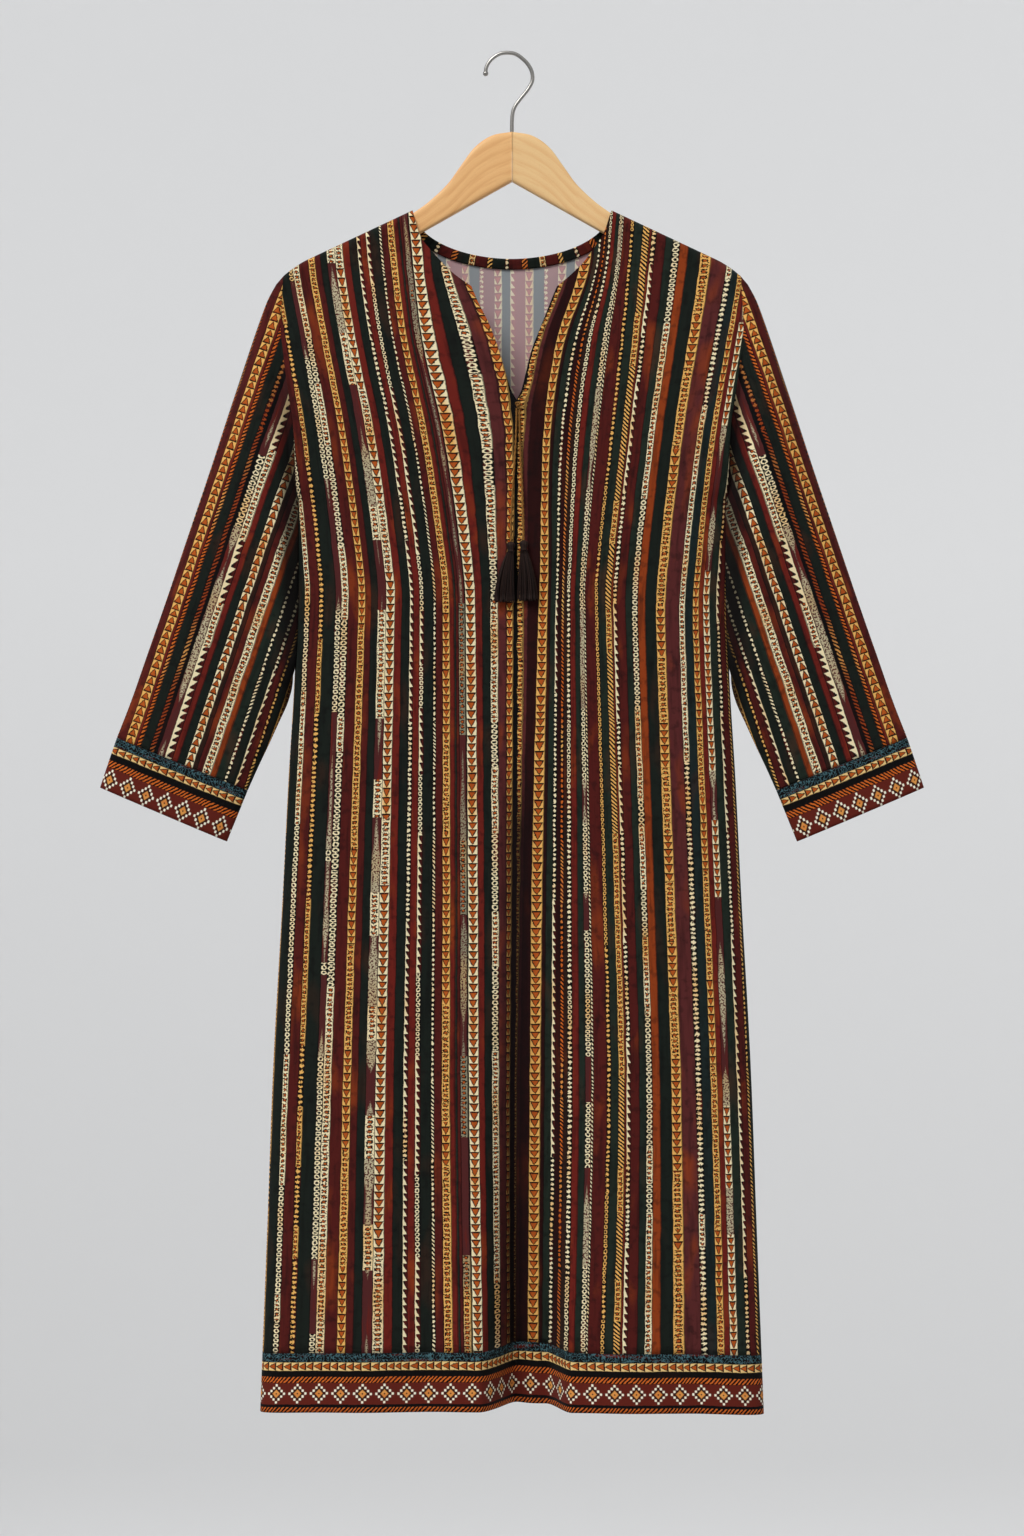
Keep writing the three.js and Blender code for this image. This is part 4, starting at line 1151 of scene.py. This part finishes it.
def front_panel():
    """Front: the columns run through the neckline's corners, which are where its smooth stretches meet."""
    corners = [-NECK_HALF, NECK_HALF]
    for keys, heights in NECKLINE[1:]:
        corners.append(corner_column(keys[0], heights[0]))
    columns = panel_columns(2.4, corners)
    points = panel_points("front", columns, front_top)
    across = print_position(points[..., 0], points[..., 2]) + side_excess(points)
    part = grid_part(points, paired(across, print_height(points)))
    cloth_piece(
        "front", part, front_looks, "printed_cloth", "front_panel",
        flat=(0.575, 1.20), area=0.55, rests_on=["hanger_left", "hanger_right"],
    )


def back_panel():
    """Back: the columns close in on the ends of its neckline, where that is steep."""
    corners = [-100, -99.5, -98.5, -97, 97, 98.5, 99.5, 100]
    columns = panel_columns(2.9, corners)
    points = panel_points("back", columns, back_top)
    spread = half_width(np.minimum(points[..., 2], UNDERARM_Z)) / BACK_PRINT_HALF
    across = points[..., 0] / spread + side_excess(points)
    part = grid_part(points, paired(across, print_height(points)), flip=True)
    cloth_piece(
        "back", part, back_looks, "printed_cloth", "back_panel",
        flat=(0.53, 1.20), area=0.56, rests_on=["hanger_left", "hanger_right"],
    )


def hem_border():
    """Tube along the hem: the front's columns from left to right, then the back's from right to left."""
    front = panel_columns(2.4, [])
    back = panel_columns(3.0, [])[1:-1][::-1]
    columns = np.concatenate([front, back])
    is_front = np.arange(len(columns)) < len(front)
    share = np.linspace(0, 1, 13)[:, None]
    x = columns[None, :] * half_width(HEM_Z) / SHOULDER_HALF + 0 * share
    height = np.where(is_front[None, :], border_height("front", x), border_height("back", x))
    z = HEM_Z + height * (1 - share) + hem_sag(x, HEM_Z) - 0.1
    x = x * half_width(z) / half_width(HEM_Z)
    y = np.where(is_front[None, :], panel_surface("front", x, z), panel_surface("back", x, z))
    y[:, np.abs(columns) == SHOULDER_HALF] = 0
    points = np.stack([x, y, z], -1)
    uv = paired(distance_along(closed(points)[0])[None, :], BORDER_HEIGHT * share)
    part = grid_part(points, uv, wrap=True)
    cloth_piece(
        "hem", part, hem_looks, "border_cloth", "hem_border", flat=(1.11, 0.0593), rests_on=["front", "back"]
    )


RING_HALF = 41


def sleeve_rings(stations, sections, shares):
    """Rings between sections: the edge points and the depth are smooth curves of the station."""
    table = np.array(sections, float)
    keys = np.arange(len(sections))
    out_x, out_z, in_x, in_z, depth = [smooth_table(keys, table[:, i], stations)[:, None] for i in range(5)]
    y = depth * bulge(1 - 2 * shares, SLEEVE_ROUNDNESS)[None, :]
    return mix(out_x, in_x, shares), y, mix(out_z, in_z, shares)


def ring_shares(count):
    """Shares from the outer to the inner edge, closing in on both, by half a cosine."""
    return (1 - np.cos(np.linspace(0, np.pi, count))) / 2


def both_faces(x, y, z):
    """A closed ring from its front half and the same half behind, run backwards."""
    back = slice(-2, 0, -1)
    halves = [(x, x), (-y, y), (z, z)]
    return np.stack([np.concatenate([front, behind[:, back]], 1) for front, behind in halves], -1)


def sleeve_uv(points, count):
    """Print on a sleeve: across is the distance from the outer edge's line, lengthened round both edges."""
    flat = points[..., [0, 2]] - SLEEVE_ORIGIN
    across = flat @ SLEEVE_ACROSS
    along = flat @ np.array([-SLEEVE_ACROSS[1], SLEEVE_ACROSS[0]])
    half = count // 2
    front = points[:, :count]
    step = np.linalg.norm(np.diff(front, axis=1), axis=-1)
    flat_step = np.linalg.norm(np.diff(front[..., [0, 2]], axis=1), axis=-1)
    longer = step - flat_step
    none = np.zeros((len(points), count))
    inner = np.cumsum(longer[:, half:], 1)
    outer = np.cumsum(longer[:, :half][:, ::-1], 1)[:, ::-1]
    inner = np.concatenate([none[:, :half + 1], inner], 1)
    outer = np.concatenate([outer, none[:, :count - half]], 1)
    excess = inner - outer
    around = np.concatenate([excess, excess[:, -2:0:-1]], 1)
    return closed(np.stack([across + around, along], -1))


def sleeve(side):
    """Sleeve: from the armhole's ring to the first section, and through all sections to the cuff.

    Under the arm a lip of its front, where a bell curve of its depth says so, lies over the body's side.
    """
    shares = ring_shares(RING_HALF)
    stations = np.linspace(0, len(SLEEVE_SECTIONS) - 1, 86)
    x, y, z = sleeve_rings(stations, SLEEVE_SECTIONS, shares)
    hole_z = mix(SHOULDER_Z, UNDERARM_Z, shares)[None, :]
    hole_x = half_width(hole_z) + 0.1
    hole_y = armhole_depth(hole_z)
    lead = np.linspace(0, 1, 7)[:-1, None]
    eased = smooth_step(lead) * 0.35 + lead * 0.65
    x = np.concatenate([mix(hole_x, x[:1], lead), x])
    y = np.concatenate([mix(hole_y, y[:1], eased), y])
    z = np.concatenate([mix(hole_z, z[:1], lead), z])
    points = both_faces(x, y, z)
    share = np.concatenate([shares, shares[-2:0:-1]])[None, :]
    height = points[..., 2]
    low = smooth_step((LIP_TOP - height) / LIP_TOP_FADE) * smooth_step((height - LIP_FOOT) / LIP_FOOT_FADE)
    forward = np.exp(-(((points[..., 1] + LIP_DEPTH) / LIP_SPREAD) ** 2))
    points[..., 0] -= LIP_REACH * low * forward * smooth_step((share - 0.5) / 0.4)
    uv = sleeve_uv(points, RING_HALF)
    points[..., 0] *= FACING[side]
    part = grid_part(points, uv, wrap=True, flip=side == "right")
    cloth_piece(
        f"sleeve_cloth_{side}", part, sleeve_looks, "printed_cloth", f"sleeve_{side}",
        flat=(0.42, 0.48), area=0.125, rests_on=["front", "back"],
    )


def cuff(side):
    """Cuff: a tube through its three sections."""
    rows = 15
    stations = np.linspace(0, len(CUFF_SECTIONS) - 1, rows)
    points = both_faces(*sleeve_rings(stations, CUFF_SECTIONS, ring_shares(RING_HALF)))
    down = np.linspace(0, CUFF_LENGTH, rows)
    uv = paired(distance_along(closed(points)[0])[None, :], down[:, None])
    points[..., 0] *= FACING[side]
    part = grid_part(points, uv, wrap=True, flip=side == "right")
    cloth_piece(
        f"cuff_cloth_{side}", part, cuff_looks, "border_cloth", f"cuff_{side}",
        flat=(0.295, 0.0545), rests_on=[f"sleeve_cloth_{side}"],
    )


# Distance down the cloth and out of it, round the binding
BINDING_PROFILE = [
    (9.2, 0.15), (9.0, 1.05), (7.5, 1.25), (3.0, 1.3), (0.2, 1.35), (-1.0, 1.0), (-1.6, 0.1), (-1.7, -0.8),
    (-1.5, -1.8), (-0.8, -2.5), (0.4, -2.8), (3.0, -2.75), (7.5, -2.7), (9.0, -2.5), (9.2, -1.55),
]


def neck_binding():
    """Binding: a soft U carried along the back neck edge, over the panel's wall."""
    columns = np.linspace(-97, 97, 150)
    top = back_top(columns)
    edge = np.stack([columns, panel_surface("back", columns, top), top], -1)
    below = np.stack([columns, panel_surface("back", columns, top - 3), top - 3], -1)
    along = unit(np.gradient(edge, axis=0))
    down = unit_across(below - edge, along)
    out = np.cross(down, along)
    out *= np.sign(out[:, 1:2])
    ring = np.array(BINDING_PROFILE)
    points = edge[:, None] + ring[None, :, :1] * down[:, None] + ring[None, :, 1:] * out[:, None]
    around = distance_along(ring)
    around = np.append(around, around[-1] + 1.7)
    uv = paired(distance_along(edge)[:, None], around[None, :])
    made = piece_from("binding", [grid_part(points, uv, wrap=True, caps=True)], binding_print)
    finish_piece(made, "neck_binding")


# Hanger
def arm_top(x):
    beyond = ridge_height(x) - ARM_CLEARANCE
    return np.where(x >= NECK_HALF, beyond, smooth_table(ARM_TOP_X, ARM_TOP_Z, x))


def arm_underside(x):
    straight = ARM_UNDERSIDE_Z - ARM_UNDERSIDE_SLOPE * np.minimum(x, ARM_LOW_X)
    share = np.clip((x - ARM_LOW_X) / (ARM_TIP_X - ARM_LOW_X), 0, 1)
    low_height = arm_top(np.array(float(ARM_LOW_X))) - straight
    return np.where(x <= ARM_LOW_X, straight, arm_top(x) - mix(low_height, ARM_TIP_HEIGHT, share))


def hanger_arm(side, material):
    """Arm: rounded upright sections from the middle joint to a tip that closes by a quarter circle."""
    tip = TIP_START + TIP_LENGTH * np.sin(np.linspace(0.1, np.pi / 2, 12))
    x = np.concatenate([np.linspace(0.08, 40, 24), np.linspace(42, TIP_START, 64), tip])
    closing = np.sqrt(np.maximum(0, 1 - (np.clip(x - TIP_START, 0, TIP_LENGTH) / TIP_LENGTH) ** 2))
    half_height = (arm_top(x) - arm_underside(x)) / 2
    middle = (arm_top(x) + arm_underside(x)) / 2
    height = half_height - TIP_NARROWING * (1 - closing)
    depth = ARM_HALF_THICKNESS * (0.5 + 0.5 * closing)
    angle = round_angles(ARM_SIDES)
    cosine = np.sign(np.cos(angle)) * np.abs(np.cos(angle)) ** ARM_SQUARENESS
    sine = np.sign(np.sin(angle)) * np.abs(np.sin(angle)) ** ARM_SQUARENESS
    corner = np.minimum(1, ARM_CORNER / height)[:, None]
    flat = np.interp(sine, [-1, -0.6, 0.6, 1], [-1, -0.82, 0.82, 1])
    up = mix(flat[None, :], sine[None, :], corner * 0.5)
    points = np.stack([
        np.broadcast_to(x[:, None], (len(x), ARM_SIDES)),
        depth[:, None] * cosine[None, :],
        middle[:, None] + height[:, None] * up,
    ], -1)
    length = distance_along(np.stack([x, middle], -1))
    uv = paired(length[:, None], closed(points[..., 2] - middle[:, None]))
    points[..., 0] *= FACING[side]
    part = grid_part(points, uv, wrap=True, flip=side == "left", caps=True)
    made = piece_from(f"hanger_{side}", [part], material)
    finish_piece(made, f"hanger_arm_{side}")


def hook():
    """Hook: a round wire along a smooth curve through its route, and a ball on its tip."""
    route = np.array(HOOK_ROUTE, float)
    steps = distance_along(route)
    fine = np.linspace(0, steps[-1], 220)
    x = smooth_table(steps, route[:, 0], fine)
    z = smooth_table(steps, route[:, 1], fine)
    path = np.stack([x, 0 * x, z], -1)
    parts = [tube_part(path, np.full(220, WIRE_RADIUS), 24, (0, 1, 0))]
    ball = np.linspace(-1, 1, 25)
    radius = HOOK_TIP_RADIUS * np.sqrt(np.maximum(0.0004, 1 - ball**2))
    ball_path = path[0] + np.stack([0 * ball, 0 * ball, HOOK_TIP_RADIUS * ball], -1)
    parts.append(tube_part(ball_path, radius, 28, (0, 1, 0)))
    made = piece_from("hook", parts, hook_steel)
    finish_piece(made, "hanger_hook")


hanger_arm("left", warm_wood)
hanger_arm("right", light_wood)
hook()
front_panel()
back_panel()
hem_border()
for each in ("left", "right"):
    sleeve(each)
    cuff(each)
neck_binding()


# Studio, in metres, and its light
FLOOR_Z = -4.2
FLOOR_REACH = 8
WALL_HEIGHT = 7.2
PAINT_RISE_MM = 3200.0
WORLD_TINT = (0.95, 0.97, 1.0, 1)
WORLD_STRENGTH = 0.48
KEY_DIRECTION = (0.42, 0.62, -0.66)
KEY_STRENGTH = 2.0
KEY_SPREAD = 28


def studio_bowl():
    """Pale floor that curves up into walls. In plan it is a square with rounded corners, a superellipse."""
    shader = Shader("pale_floor")
    _, height_mm = shader.print_map()
    upper = (height_mm / PAINT_RISE_MM + 0.99).limited()
    paint = shader.blend(upper, tone(213, 213, 213), tone(232, 232, 232))
    material = shader.surface(paint, 0.9, Specular_IOR_Level=0.1)
    flat_rows = 12
    turn = np.linspace(0, np.pi / 2, 16)[1:]
    flat = np.linspace(0.0002, FLOOR_REACH, flat_rows)
    reach = np.concatenate([flat, FLOOR_REACH + np.sin(turn), [FLOOR_REACH + 1]])
    height = np.concatenate([np.zeros(flat_rows), 1 - np.cos(turn), [WALL_HEIGHT]]) + FLOOR_Z
    angle = round_angles(128)
    round_plan = (np.abs(np.cos(angle)) ** 8 + np.abs(np.sin(angle)) ** 8) ** (-1 / 8)
    out = reach[:, None] * round_plan
    corners = np.broadcast_arrays(out * np.cos(angle), out * np.sin(angle), height[:, None])
    points = np.stack(corners, -1) / MM
    uv = paired(np.zeros((1, 129)), height[:, None] / MM)
    floor = piece_from("studio_floor", [grid_part(points, uv, wrap=True)], material)


def studio_light():
    """Even pale light from all round, with a soft sun from the upper left as the key."""
    world = bpy.data.worlds.new("studio")
    world.use_nodes = True
    background = world.node_tree.nodes["Background"].inputs
    background["Color"].default_value = WORLD_TINT
    background["Strength"].default_value = WORLD_STRENGTH
    bpy.context.scene.world = world
    data = bpy.data.lights.new("key", "SUN")
    data.energy = KEY_STRENGTH
    data.angle = math.radians(KEY_SPREAD)
    lamp = bpy.data.objects.new("key", data)
    x, y, z = KEY_DIRECTION
    lamp.rotation_euler = (math.atan2(math.hypot(x, y), -z), 0, math.atan2(-x, y))
    bpy.context.scene.collection.objects.link(lamp)


studio_bowl()
studio_light()
